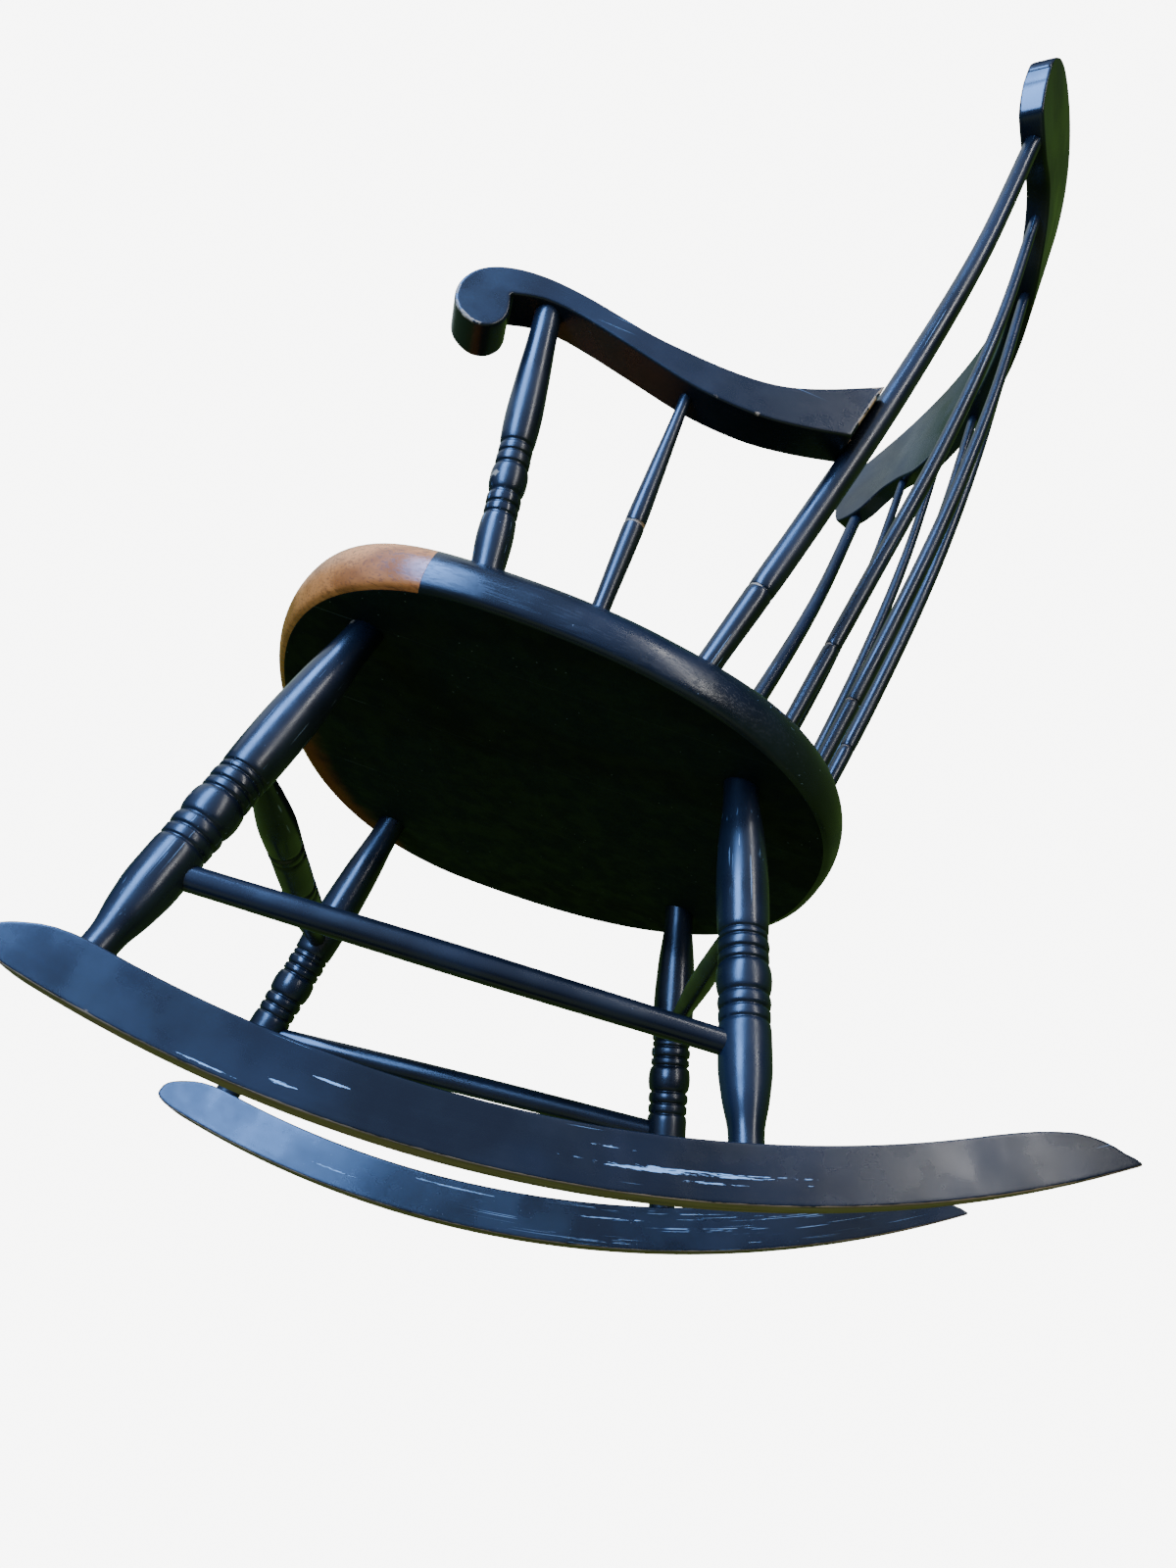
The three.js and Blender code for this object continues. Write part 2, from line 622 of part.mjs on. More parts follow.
SPINDLE_PATHS.forEach((path, i) => {
  const piece = weld(backPiece(path, BACK_SPINDLE_R, RING_HEIGHTS[i + 1], SPINDLE_SIDES));
  place(`back_spindle_${i + 1}`, piece.clone());
  place(`back_spindle_${6 - i}`, mirrored(piece));
  const sockets = backSockets(path, BACK_SPINDLE_R, SPINDLE_SIDES);
  bothSides(seatCutters, sockets.seat);
  bothSides(crestCutters, sockets.crest);
});

place('crest_rail', cut(crestBlank(), crestCutters));
place('seat', cut(seatBlank(), seatCutters));

// Rest attitude: tipped back, the rockers' flats on z = 0, the plan's bounding box centred on the origin.
const restPose = new THREE.Matrix4().makeRotationX(-rad(REST_RAKE_DEG));
const bounds = new THREE.Box3();
for (const mesh of chair.children) {
  mesh.geometry.applyMatrix4(restPose);
  mesh.geometry.computeBoundingBox();
  bounds.union(mesh.geometry.boundingBox);
}
const centreY = (bounds.min.y + bounds.max.y) / 2;
for (const mesh of chair.children) {
  mesh.geometry.translate(0, -centreY, -bounds.min.z);
  mesh.geometry.computeVertexNormals();
}

export default chair;
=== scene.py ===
"""Boston rocker: the finely made pieces and their finishes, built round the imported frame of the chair.

Story sticks and outlines are in millimetres, in the seat's own frame: the seat's underside is z = 0, the
front is towards -y and the sitter's left towards +x. The whole chair is then tipped back into its rest
attitude.
"""
import math

import bmesh
import bpy
import numpy as np
from bpy.props import FloatProperty, FloatVectorProperty, PointerProperty
from bpy.types import Operator, Panel, PropertyGroup
from mathutils import Euler, Matrix, Vector


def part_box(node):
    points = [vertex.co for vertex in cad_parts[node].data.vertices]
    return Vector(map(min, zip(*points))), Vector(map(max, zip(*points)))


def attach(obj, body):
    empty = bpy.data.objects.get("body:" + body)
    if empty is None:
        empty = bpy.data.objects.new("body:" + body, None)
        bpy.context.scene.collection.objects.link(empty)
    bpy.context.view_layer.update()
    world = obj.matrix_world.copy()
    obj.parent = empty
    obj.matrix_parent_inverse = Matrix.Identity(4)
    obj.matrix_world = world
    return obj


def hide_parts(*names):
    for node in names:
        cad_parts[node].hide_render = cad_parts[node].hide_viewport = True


bl_info = {
    "name": "Boston Rocker",
    "version": (1, 0, 0),
    "blender": (4, 5, 0),
    "location": "View3D > Sidebar > Rocker",
    "description": "Builds a black painted Boston rocker piece by piece, with its finishes and its stage",
    "category": "Object",
}

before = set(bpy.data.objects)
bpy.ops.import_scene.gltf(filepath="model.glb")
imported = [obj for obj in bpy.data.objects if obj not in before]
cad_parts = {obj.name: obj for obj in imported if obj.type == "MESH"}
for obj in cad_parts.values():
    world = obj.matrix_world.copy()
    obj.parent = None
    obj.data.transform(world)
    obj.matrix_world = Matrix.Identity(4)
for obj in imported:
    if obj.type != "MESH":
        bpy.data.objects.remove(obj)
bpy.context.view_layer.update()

MM = 0.001
BODY = "root"
SHARED_PAINT = "satin_black_paint"
SIDES = ((1, "left"), (-1, "right"))


# Story sticks: rows of [height, radius] in millimetres; a TOP stick's heights are from the upper end

LEG_FOOT_STICK = [[-18, 11.4], [0, 11.4], [6, 11.4], [30, 15.4], [52, 17.7], [72, 17.7], [78.6, 17.2]]
LEG_BAND_STICK = [
    [80.2, 15.8], [82, 17.3], [87.4, 17.4], [89.2, 15.6], [91, 17.4], [94.4, 17.9], [97.8, 17.4],
    [99.6, 15.7], [101.6, 17.5], [106.5, 18.6], [111, 18.9], [115.5, 18.6], [120.4, 17.5], [122.3, 15.7],
    [124.1, 17.4], [128.3, 17.4], [130, 15.6], [131.7, 17.4], [134.8, 17.8], [137.9, 17.4], [139.6, 15.7],
    [141, 17.1], [143.4, 17.1], [144.8, 15.8], [146.4, 17.5],
]
LEG_SWELL = [(0.28, 18.5), (0.58, 17)]      # share of the free length above the band, radius
LEG_TOP_STICK = [[-8, 13.2], [24, 13.2]]
ARM_POST_STICK = [
    [-20, 12.2], [6, 12.2], [28, 13.2], [44, 12.4], [46.6, 11.2], [48.4, 12.3], [52.6, 12.3], [54.4, 11.2],
    [56.2, 12.5], [61.6, 12.5], [63.6, 11], [67, 12.6], [74, 13.7], [79, 13.7], [84.5, 12.9], [87, 11.2],
    [89, 12.6], [94.6, 12.6], [96.4, 11.2], [98.2, 12.4], [102.6, 12.4], [104.6, 11.2], [107, 12.7],
    [130, 13.7], [158, 12.8],
]
ARM_POST_TOP_STICK = [[-6, 10.4], [12, 10.4]]
ARM_SPINDLE_FOOT_STICK = [[-20, 6.8], [6, 6.8]]
ARM_SPINDLE_RING_STICK = [[-1.6, 7.9], [0, 7.1], [1.6, 7.8]]    # heights are from the ring's groove
ARM_SPINDLE_RING_AT = 0.41                                      # share of the length
ARM_SPINDLE_WAIST = (0.62, 6.7)                                 # share of the length, radius
ARM_SPINDLE_TOP_STICK = [[-6, 4.6], [12, 4.6]]
BACK_POST_STICK = {"foot": 9.6, "middle": 10.8, "head": 7.6, "ring": 76}
BACK_SPINDLE_STICKS = [{"foot": 6, "middle": 6.9, "head": 5, "ring": ring} for ring in (90, 86, 84)]

# Where hands or shoes rubbed a turned piece: height and reach in millimetres, strength, and the way that the
# rubbed side faces, or None for all round
LEG_RUBS = [(111, 9, 0.85, (0.5, -1, 0.1)), (80.2, 1.6, 0.35, None), (144.8, 1.6, 0.4, None),
            (89.2, 1.6, 0.3, None), (130, 1.6, 0.35, None)]
LEG_TOP_RUB = (-4, 9, 0.9, (1, -0.6, 0))        # its height is from the leg's upper end
ARM_POST_RUBS = [(76, 10, 0.95, (0.5, -1, 0)), (46.6, 1.5, 0.35, None), (104.6, 1.5, 0.35, None),
                 (63.6, 1.5, 0.4, (0, -1, 0)), (87, 1.5, 0.4, (0, -1, 0))]
RING_RUB = (2.4, 1.5)                           # reach and strength on a spindle's or back post's ring
BACK_RING_FACES = (0.7, -1, 0.2)

# How many flats each turned piece is made with
STOUT_FLATS, SLENDER_FLATS, SPINDLE_FLATS = 48, 40, 32

# Where the pieces stand, in millimetres

FRONT_LEG = {"top": (173.2, -90), "foot": (215.8, -132.2)}
REAR_LEG = {"top": (138.3, 206), "foot": (172.1, 273.6)}
SIDE_STRETCHER_AT = (0.791, 0.762)
FRONT_STRETCHER_AT = 0.463
REAR_STRETCHER_AT = 0.405
ARM_POST = {"base": (232, -13.5, 40), "top": (268.2, -47.6, 256)}
ARM_SPINDLE = {"base": (222.5, 68.5, 40), "top": (254.5, 71.1, 236)}
POST_PATH = [(211, 152, 40), (223.7, 190, 190), (237.7, 225.2, 341), (250.9, 253.5, 492), (261.6, 270.6, 642)]
SPINDLE_PATHS = [
    [(156.7, 222.2, 40), (164.7, 250.3, 194), (175.2, 277.7, 348), (183.3, 296.6, 501), (186, 305, 655)],
    [(102, 258.2, 40), (108.5, 284.5, 190), (114.2, 306.7, 339), (117.6, 321.4, 488), (118.5, 327.5, 638)],
    [(38, 274.1, 40), (40.9, 300.8, 190), (43.3, 322.1, 339), (44.7, 335, 488), (45, 340.5, 638)],
]

# Radii: at the ends and in the middle, and for the front one also where it leaves the leg
SIDE_STRETCHER_R = (8.8, 9.9)
FRONT_STRETCHER_R = (7.5, 8.5, 14.8)
REAR_STRETCHER_R = (6.8, 9.6)
FRONT_GROOVES = (0.373, 0.407)      # as shares of the front stretcher's length; the other half mirrors them
STRETCHER_SHORT = 5                 # a stretcher stops this far from the axis of its leg
# The rocker's noses: degrees about its curve's centre, then its lower and upper edge above the underside
ROCKER_FRONT_NOSE = [(-11.53, 6.4, 11.5), (-11.5, 5.4, 13.5), (-11.42, 4, 16.2), (-11.27, 2.5, 19),
                     (-11.05, 1.5, 21.8), (-10.87, 0.8, 23.7), (-10.5, 0.25, 27), (-10.12, 0, 30),
                     (-9.6, 0, 32.8), (-9, 0, 34.7), (-8.4, 0, 35.7), (-7.6, 0, 36)]
ROCKER_REAR_NOSE = [(27.6, 0, 36), (28.6, 0, 35.3), (29.4, 0, 34.2), (30.3, 0, 32), (31.1, 0, 29),
                    (31.7, 0, 25), (32.2, 0, 20.3), (32.6, 0, 15.3), (32.9, 0, 10.4), (33.25, 0, 6),
                    (33.47, 0, 3)]
ROCKER_STATIONS = 70                # sections along the curve between the noses
ROCKER_EDGE = 0.0016                # rounding of the sawn edges, in metres
ARM_OUTER_X = 255                   # outer face of the arm where it meets the back post
ARM_REAR_Y = 210
ARM_TOE = -0.11                     # the arms open towards the front
CREST_Y = 341
CREST_Z = 635
CREST_LEAN = 0.05

# Scrapes on the rockers, in millimetres on the sawn blank: centre (across, up, along) and reach
LEFT_SCRAPES = [((17, 15.5, 246), (5, 3.6, 130)), ((17, 24.8, 205), (5, 1.5, 36)),
                ((17, 11, 260), (5, 1.3, 50)), ((17, 10.5, 2), (5, 2.8, 21)), ((17, 20.5, 30), (5, 1.4, 18)),
                ((17, 3.6, -38), (5, 1.1, 40)), ((17, 12.8, 326), (5, 1.6, 9))]
RIGHT_SCRAPES = [((-17, 14, -12), (5, 1.4, 46)), ((-17, 29, 95), (5, 1.8, 80)),
                 ((-17, 24, 240), (5, 1.6, 60))]
RIGHT_HAIRLINES = [((-17, 18, 300), (6, 20, 190))]

# Sawn outlines, in millimetres: the arm's side (y, z) and the crest's lower and upper edge (x, z)

ARM_UPPER = [(210.2, 309.4), (169, 283.5), (142, 270), (119.5, 264), (91, 261.5), (62, 262), (33, 264),
             (7, 268.5), (-24, 274), (-54, 276), (-77, 272.8), (-94, 265.5), (-105, 255.2), (-110.8, 241),
             (-110.6, 227), (-106, 216.8), (-96.5, 209), (-86, 206.3), (-76.5, 210), (-70.6, 218.5),
             (-69.4, 228), (-72, 239.4), (-73.8, 244.5)]
ARM_LOWER = [(-73, 247), (-60, 252), (-48.2, 254.8), (-31.4, 254.7), (-6.6, 250.6), (29.6, 242.5),
             (68, 233.8), (93, 230.8), (129, 231.2), (163, 238), (197, 248.5)]
CREST_LOWER = [(0, 637), (124, 637), (152, 639.5), (168, 646), (190, 654), (212, 656), (229, 651),
               (247, 642.5), (262, 641), (276, 642), (284, 645), (290.5, 657), (295, 674), (297, 688)]
CREST_UPPER = [(0, 779), (84, 775), (158, 767), (210, 757), (252, 746), (272, 738), (284, 727),
               (292, 712), (297, 698)]

# The light round the chair: which way the sky's middle lies, and where, from 0 straight away from it to 1
# straight towards it, the lawn ends, the sky begins behind a dark hedge, and the sky is full
SKY_DIRECTION = (0.8, -0.3, 0.5)
LAWN_ENDS, SKY_BEGINS, SKY_FULL = 0.5, 0.64, 0.96
BACKDROP_STRENGTH = 9.0
FLOOR_GLOW = (2.0, 1.7, 1.2, 1)         # keeps the floor pale under the blue light; it lights nothing else
FLOOR_SIZE, FLOOR_BELOW = 9, 0.0006     # the floor lies just under the rockers, so the two never share a face
LAMPS_AIM = (0, 0, 0.45)
LAMPS = {                               # place, width and height, colour
    "key": ((1.9, -1.25, 1.5), (0.95, 2.8), (0.2, 0.42, 1.0)),
    "edge": ((1.75, 1.3, 1.2), (0.16, 2.4), (1.0, 0.98, 0.94)),
    "fill": ((-0.4, -1.2, 2.6), (2.4, 2.4), (0.8, 0.92, 1.0)),
    "ground": ((0.5, 0.0, -1.5), (2.6, 2.6), (1.0, 0.93, 0.82)),
}
SENSOR_WIDTH = 36

# The seat's rim: millimetres beyond the outline, and height above the underside; then the flats round it, and
# the rings of its underside and top as shares of the way out to the outline
SEAT_RIM = [(-3, 0), (1.5, 2), (4.5, 9), (5, 16), (3.5, 24), (-0.5, 32), (-7.5, 38.5), (-16, 41.4), (-26, 42)]
SEAT_FLATS = 176
SEAT_UNDER_RINGS = (0.02, 0.2, 0.4, 0.6, 0.8, 0.92, 0.97, 0.99)
SEAT_TOP_RINGS = (0.9, 0.86, 0.82, 0.77, 0.71, 0.64, 0.56, 0.48, 0.39, 0.3, 0.21, 0.12, 0.02)
SADDLE_REACH = 0.88                     # the dish ends at this share
ROLL_FRONT, ROLL_REAR = (9, 7), (5, 2.5)        # how far the rolled edge reaches out, and up

# Where across the seat its planks are glued, and from where to where the glue lines have opened, in metres
GLUE_LINES = (-0.183, -0.061, 0.061, 0.183)
OPENED = (-0.131, -0.099)

# Small things that lie in or on the finishes
PAINT_DUST, SEAT_DUST, UNDERSIDE_DUST = (0.4, 0.42, 0.43), (0.45, 0.46, 0.46), (0.3, 0.32, 0.31)
GLUE_LINE_COLOUR = (0.06, 0.065, 0.06)


# Sizes and colours a user would change

def metres(name, description, default):
    return FloatProperty(name=name, description=description, default=default, unit="LENGTH")


def colour(name, description, default, **limits):
    return FloatVectorProperty(name=name, description=description, default=default, subtype="COLOR", **limits)


def watts(name, description, default):
    return FloatProperty(name=name, description=description, default=default, unit="POWER")


class RockerSeatSizes(PropertyGroup):
    half_width: metres("Half width", "From the middle of the seat to its side", 0.255)
    front: metres("Front", "From the widest point of the seat to its front", 0.182)
    rear: metres("Rear", "From the widest point of the seat to its rear", 0.294)
    centre_y: metres("Widest point", "Where along its depth the seat is widest", 0.005)
    squareness: FloatProperty(name="Squareness", description="2 is an ellipse, more is squarer", default=2.3)
    dish: metres("Dish", "Depth of the saddle in the middle", 0.007)
    natural_line: metres("Paint line", "The black paint begins here; the wood in front of it is left natural",
                         -0.047)


class RockerRunnerSizes(PropertyGroup):
    radius: metres("Radius", "Radius of the curved underside", 0.947)
    centre_z: metres("Centre", "Height of that curve's centre above the seat's underside", 0.6134)
    height: metres("Height", "Depth of the sawn rocker", 0.036)
    thickness: metres("Thickness", "Thickness of the rocker", 0.034)
    rest_angle: FloatProperty(name="Rest angle", description="How far the seat leans back at rest",
                              default=math.radians(10.7), subtype="ANGLE")


class RockerArmSizes(PropertyGroup):
    width: metres("Width", "Width of the arm", 0.033)
    edge: metres("Edge", "Rounding of the arm's edges", 0.002)


class RockerCrestSizes(PropertyGroup):
    thickness: metres("Thickness", "Thickness of the crest rail", 0.021)
    bend: metres("Bend", "Radius of the crest rail's bend in plan", 0.483)
    edge: metres("Edge", "Rounding of the crest rail's edges", 0.0025)


class RockerFinishes(PropertyGroup):
    paint: colour("Black paint", "The black paint", (0.004, 0.005, 0.007))
    paint_faded: colour("Faded paint", "The paint where it has dulled", (0.009, 0.0115, 0.017))
    # The underside colour is the flat black coat with a green tint painted in as a reflection of the lawn
    underside: colour("Underside", "The flat coat under the seat", (0.0022, 0.0058, 0.0045))
    natural_light: colour("Natural wood", "Light grain of the seat's front", (0.8, 0.22, 0.045))
    natural_dark: colour("Natural wood, dark", "Dark grain of the seat's front", (0.3, 0.07, 0.012))
    rubbed: colour("Rubbed wood", "Wood where the paint is rubbed through", (0.42, 0.25, 0.12))
    tread: colour("Tread", "Soiled bare wood under the rockers", (0.32, 0.19, 0.11))
    scrape: colour("Scrape", "Chalky scrapes on the rockers", (0.42, 0.55, 0.62))
    paint_gloss: FloatProperty(name="Paint roughness", description="Roughness of the satin paint",
                               default=0.24, min=0, max=1)


class RockerStudio(PropertyGroup):
    camera_place: FloatVectorProperty(name="Camera", description="Where the camera stands",
                                      default=(0.9093, -0.0568, -0.096), subtype="TRANSLATION")
    camera_turn: FloatVectorProperty(name="Camera turn", description="Which way the camera looks",
                                     default=tuple(map(math.radians, (116.697, -8.236, 84.43))),
                                     subtype="EULER")
    camera_lens: FloatProperty(name="Lens", description="Focal length on a 36 mm wide sensor", default=27)
    sky: colour("Sky", "Light from the sitter's left and above", (0.5, 0.68, 1.15), max=10)
    hedge: colour("Hedge", "Dim light from between the sky and the lawn", (0.012, 0.018, 0.02))
    lawn: colour("Lawn", "Light from the other side", (0.08, 0.17, 0.035))
    backdrop: colour("Backdrop", "The backdrop and the floor", (0.86, 0.86, 0.85))
    key_power: watts("Key light", "The large blue light", 300)
    edge_power: watts("Edge light", "The tall narrow light", 26)
    fill_power: watts("Fill light", "The overhead light", 16)
    ground_power: watts("Ground light", "The light from below", 4)


# Shaping tools

def smooth(value, low, high):
    """0 up to low, 1 from high, and a soft step between."""
    t = min(max((value - low) / (high - low), 0), 1)
    return t * t * (3 - 2 * t)


def from_top(stick, length):
    """A story stick's rows, counted from the upper end of a piece this long."""
    return [[length + height, radius] for height, radius in stick]


def rounded_end(edge, degrees):
    """How far in each section of a rounded end stands, and how far beyond its last station."""
    return [(edge * (1 - math.cos(t)), edge * math.sin(t) - edge) for t in map(math.radians, degrees)]


def faired(stick, longest=5, least=3):
    """A story stick's rows joined by smooth runs that never overshoot a row."""
    at, radius = np.array(stick, float).T
    gap = np.diff(at)
    slope = np.diff(radius) / gap
    tangent = np.zeros(len(at))
    tangent[0], tangent[-1] = slope[0], slope[-1]
    for i in range(1, len(at) - 1):
        if slope[i - 1] * slope[i] > 0:
            before, after = 2 * gap[i] + gap[i - 1], gap[i] + 2 * gap[i - 1]
            tangent[i] = (before + after) / (before / slope[i - 1] + after / slope[i])
    rows = []
    for i, g in enumerate(gap):
        steps = max(least, math.ceil(g / longest))
        for t in np.arange(steps) / steps:
            rise = radius[i + 1] - radius[i]
            smooth = t * t * (3 - 2 * t)
            lift = g * (tangent[i] * t * (1 - t) ** 2 - tangent[i + 1] * t * t * (1 - t))
            rows.append((at[i] + g * t, radius[i] + rise * smooth + lift))
    rows.append((at[-1], radius[-1]))
    return rows


def spline(points, per_span=12):
    """A smooth line through points, evenly tense however they are spaced."""
    points = [Vector(p) for p in points]
    run = [2 * points[0] - points[1], *points, 2 * points[-1] - points[-2]]
    line = []
    for i in range(1, len(run) - 2):
        p0, p1, p2, p3 = run[i - 1:i + 3]
        d0, d1, d2 = ((b - a).length ** 0.5 for a, b in ((p0, p1), (p1, p2), (p2, p3)))
        m1 = d1 * ((p1 - p0) / d0 - (p2 - p0) / (d0 + d1) + (p2 - p1) / d1)
        m2 = d1 * ((p2 - p1) / d1 - (p3 - p1) / (d1 + d2) + (p3 - p2) / d2)
        for step in range(per_span):
            t = step / per_span
            line.append(p1 * (1 - 3 * t * t + 2 * t ** 3) + p2 * (3 * t * t - 2 * t ** 3)
                        + m1 * t * (1 - t) ** 2 - m2 * t * t * (1 - t))
    line.append(points[-1])
    return line


class Path:
    """A curved centreline that pieces are bent to; beyond its ends it runs on straight."""

    def __init__(self, points):
        self.line = [p * MM for p in spline(points, per_span=16)]
        steps = [(b - a).length for a, b in zip(self.line, self.line[1:])]
        self.reached = np.concatenate([[0], np.cumsum(steps)])
        self.length = float(self.reached[-1])

    def at(self, s):
        """The frame of a cross-section at distance s along the path."""
        i = int(np.clip(np.searchsorted(self.reached, s) - 1, 0, len(self.line) - 2))
        a, b = self.line[i], self.line[i + 1]
        before = self.line[max(i - 1, 0)]
        after = self.line[min(i + 2, len(self.line) - 1)]
        t = (s - self.reached[i]) / (self.reached[i + 1] - self.reached[i])
        inside = min(max(t, 0), 1)
        tangent = ((b - before).normalized() * (1 - inside) + (after - a).normalized() * inside).normalized()
        point = a.lerp(b, t)
        normal = Vector((1, 0, 0)).cross(tangent).normalized()
        side = tangent.cross(normal)
        return point, side, normal


class Straight:
    """A straight centreline between two points in metres."""

    def __init__(self, start, end):
        self.start, self.way = Vector(start), Vector(end) - Vector(start)
        self.length = self.way.length
        self.way.normalize()
        self.side = self.way.orthogonal().normalized()
        self.normal = self.way.cross(self.side)

    def at(self, s):
        return self.start + self.way * s, self.side, self.normal


def rest_attitude():
    """The seat's frame in the chair's frame: tipped back, and set where the rear stretcher stands."""
    turn = Matrix.Rotation(-bpy.context.scene.rocker_runners.rest_angle, 4, "X")
    low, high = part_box("rear_stretcher")
    drawn = leg_point(REAR_LEG, REAR_STRETCHER_AT)
    drawn.x = 0
    return Matrix.Translation((low + high) / 2 - turn @ drawn) @ turn


def skin(node, rings, blanks, worn, finishes, bare=0, slot="black_paint", side=1, finish_of=None):
    """Makes the finished piece that stands for a node, from closed rings of points. blanks are the same
    points on the straight blank, which the grain follows; worn says where the paint is rubbed, and bare where
    there is none. side -1 mirrors it, and finish_of picks the finish of each row of faces."""
    name = f"finished_{node}"
    rings, blanks = np.array(rings, float), np.array(blanks, float)
    rows, count = rings.shape[:2]
    rings[..., 0] *= side
    verts = rings.reshape(-1, 3)
    rest = np.array(rest_attitude())
    verts = verts @ rest[:3, :3].T + rest[:3, 3]
    quads = [(i * count + j, i * count + k, (i + 1) * count + k, (i + 1) * count + j)
             for i in range(rows - 1) for j, k in zip(range(count), [*range(1, count), 0])]
    ends = [tuple(range(count))[::-1], tuple(range((rows - 1) * count, rows * count))]
    mesh = bpy.data.meshes.new(name)
    mesh.from_pydata(verts.tolist(), [], quads + ends)
    for finish in finishes:
        mesh.materials.append(finish)
    if finish_of:
        rows_of_faces = [i for i in range(rows - 1) for _ in range(count)] + [0, rows - 2]
        mesh.polygons.foreach_set("material_index", [finish_of(i) for i in rows_of_faces])
    shift = grain_shift(node)
    for key, kind, values in (
            ("grain", "FLOAT_VECTOR", blanks.reshape(-1, 3) + np.array(shift)),
            ("worn", "FLOAT", np.zeros((rows, count)) + np.array(worn, float)),
            ("bare", "FLOAT", np.zeros((rows, count)) + np.array(bare, float))):
        attribute = mesh.attributes.new(key, kind, "POINT")
        attribute.data.foreach_set("vector" if kind == "FLOAT_VECTOR" else "value",
                                   values.astype(np.float32).ravel())
    work = bmesh.new()
    work.from_mesh(mesh)
    bmesh.ops.recalc_face_normals(work, faces=work.faces)
    work.to_mesh(mesh)
    work.free()
    mesh.polygons.foreach_set("use_smooth", [True] * len(mesh.polygons))
    piece = bpy.data.objects.new(name, mesh)
    bpy.context.scene.collection.objects.link(piece)
    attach(piece, BODY)
    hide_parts(node)
    return piece


def grain_shift(node):
    """A different patch of the grain for each piece, the same at every run."""
    number = sum(ord(letter) * (i + 1) for i, letter in enumerate(node))
    return Vector((number % 17, number % 23, number % 29)) * 0.37


def turned(node, stick, line, flats, rubs=(), side=1):
    """A turned piece along a centreline, from its story stick; rubs are rows as in LEG_RUBS."""
    sections = []
    for height, radius in stick:
        point, across, normal = line.at(height * MM)
        ring, blank, rubbed = [], [], []
        for k in range(flats):
            angle = 2 * math.pi * k / flats
            out = across * math.cos(angle) + normal * math.sin(angle)
            ring.append(point + out * radius * MM)
            blank.append((radius * MM * math.cos(angle), radius * MM * math.sin(angle), height * MM))
            amount = 0
            for at, reach, strength, way in rubs:
                near = max(0, 1 - abs(height - at) / reach)
                facing = 1 if way is None else max(0, out.dot(Vector(way).normalized()))
                amount = max(amount, strength * near * facing)
            rubbed.append(amount)
        sections.append((ring, blank, rubbed))
    return skin(node, *zip(*sections), [shared_paint()], side=side)


def board_ring(half, low, high, edge):
    """A rounded board's section as (across, up, how near an edge): corners, and lines that follow them."""
    edge = min(edge, 0.45 * (high - low), 0.45 * half)
    corners = [(half - edge, low + edge, -90), (half - edge, high - edge, 0),
               (-half + edge, high - edge, 90), (-half + edge, low + edge, 180)]
    ring = []
    for i, (a, b, turn) in enumerate(corners):
        for k in range(6):
            angle = math.radians(turn + 90 * k / 5)
            ring.append((a + edge * math.cos(angle), b + edge * math.sin(angle), 1))
        a2, b2, turn2 = corners[(i + 1) % 4]
        after = math.radians(turn + 90)
        start = Vector((a + edge * math.cos(after), b + edge * math.sin(after)))
        end = Vector((a2 + edge * math.cos(math.radians(turn2)), b2 + edge * math.sin(math.radians(turn2))))
        span = (end - start).length
        near = min(0.0015, 0.2 * span)
        far = min(0.005, 0.35 * span)
        for reach, wear in ((near, 0.45), (far, 0.1), (span / 2, 0), (span - far, 0.1), (span - near, 0.45)):
            place = start.lerp(end, reach / span)
            ring.append((place.x, place.y, wear))
    return ring


# Finishes

def add_node(tree, kind, inputs=None, **settings):
    """A node with its settings, and with its inputs linked to sockets or set to values."""
    made = tree.nodes.new(kind)
    for key, value in settings.items():
        setattr(made, key, value)
    for key, value in (inputs or {}).items():
        if isinstance(value, bpy.types.NodeSocket):
            tree.links.new(value, made.inputs[key])
        else:
            made.inputs[key].default_value = value
    return made


def shade(colour, share):
    """The colour at a share of its brightness."""
    return tuple(c * share for c in colour)


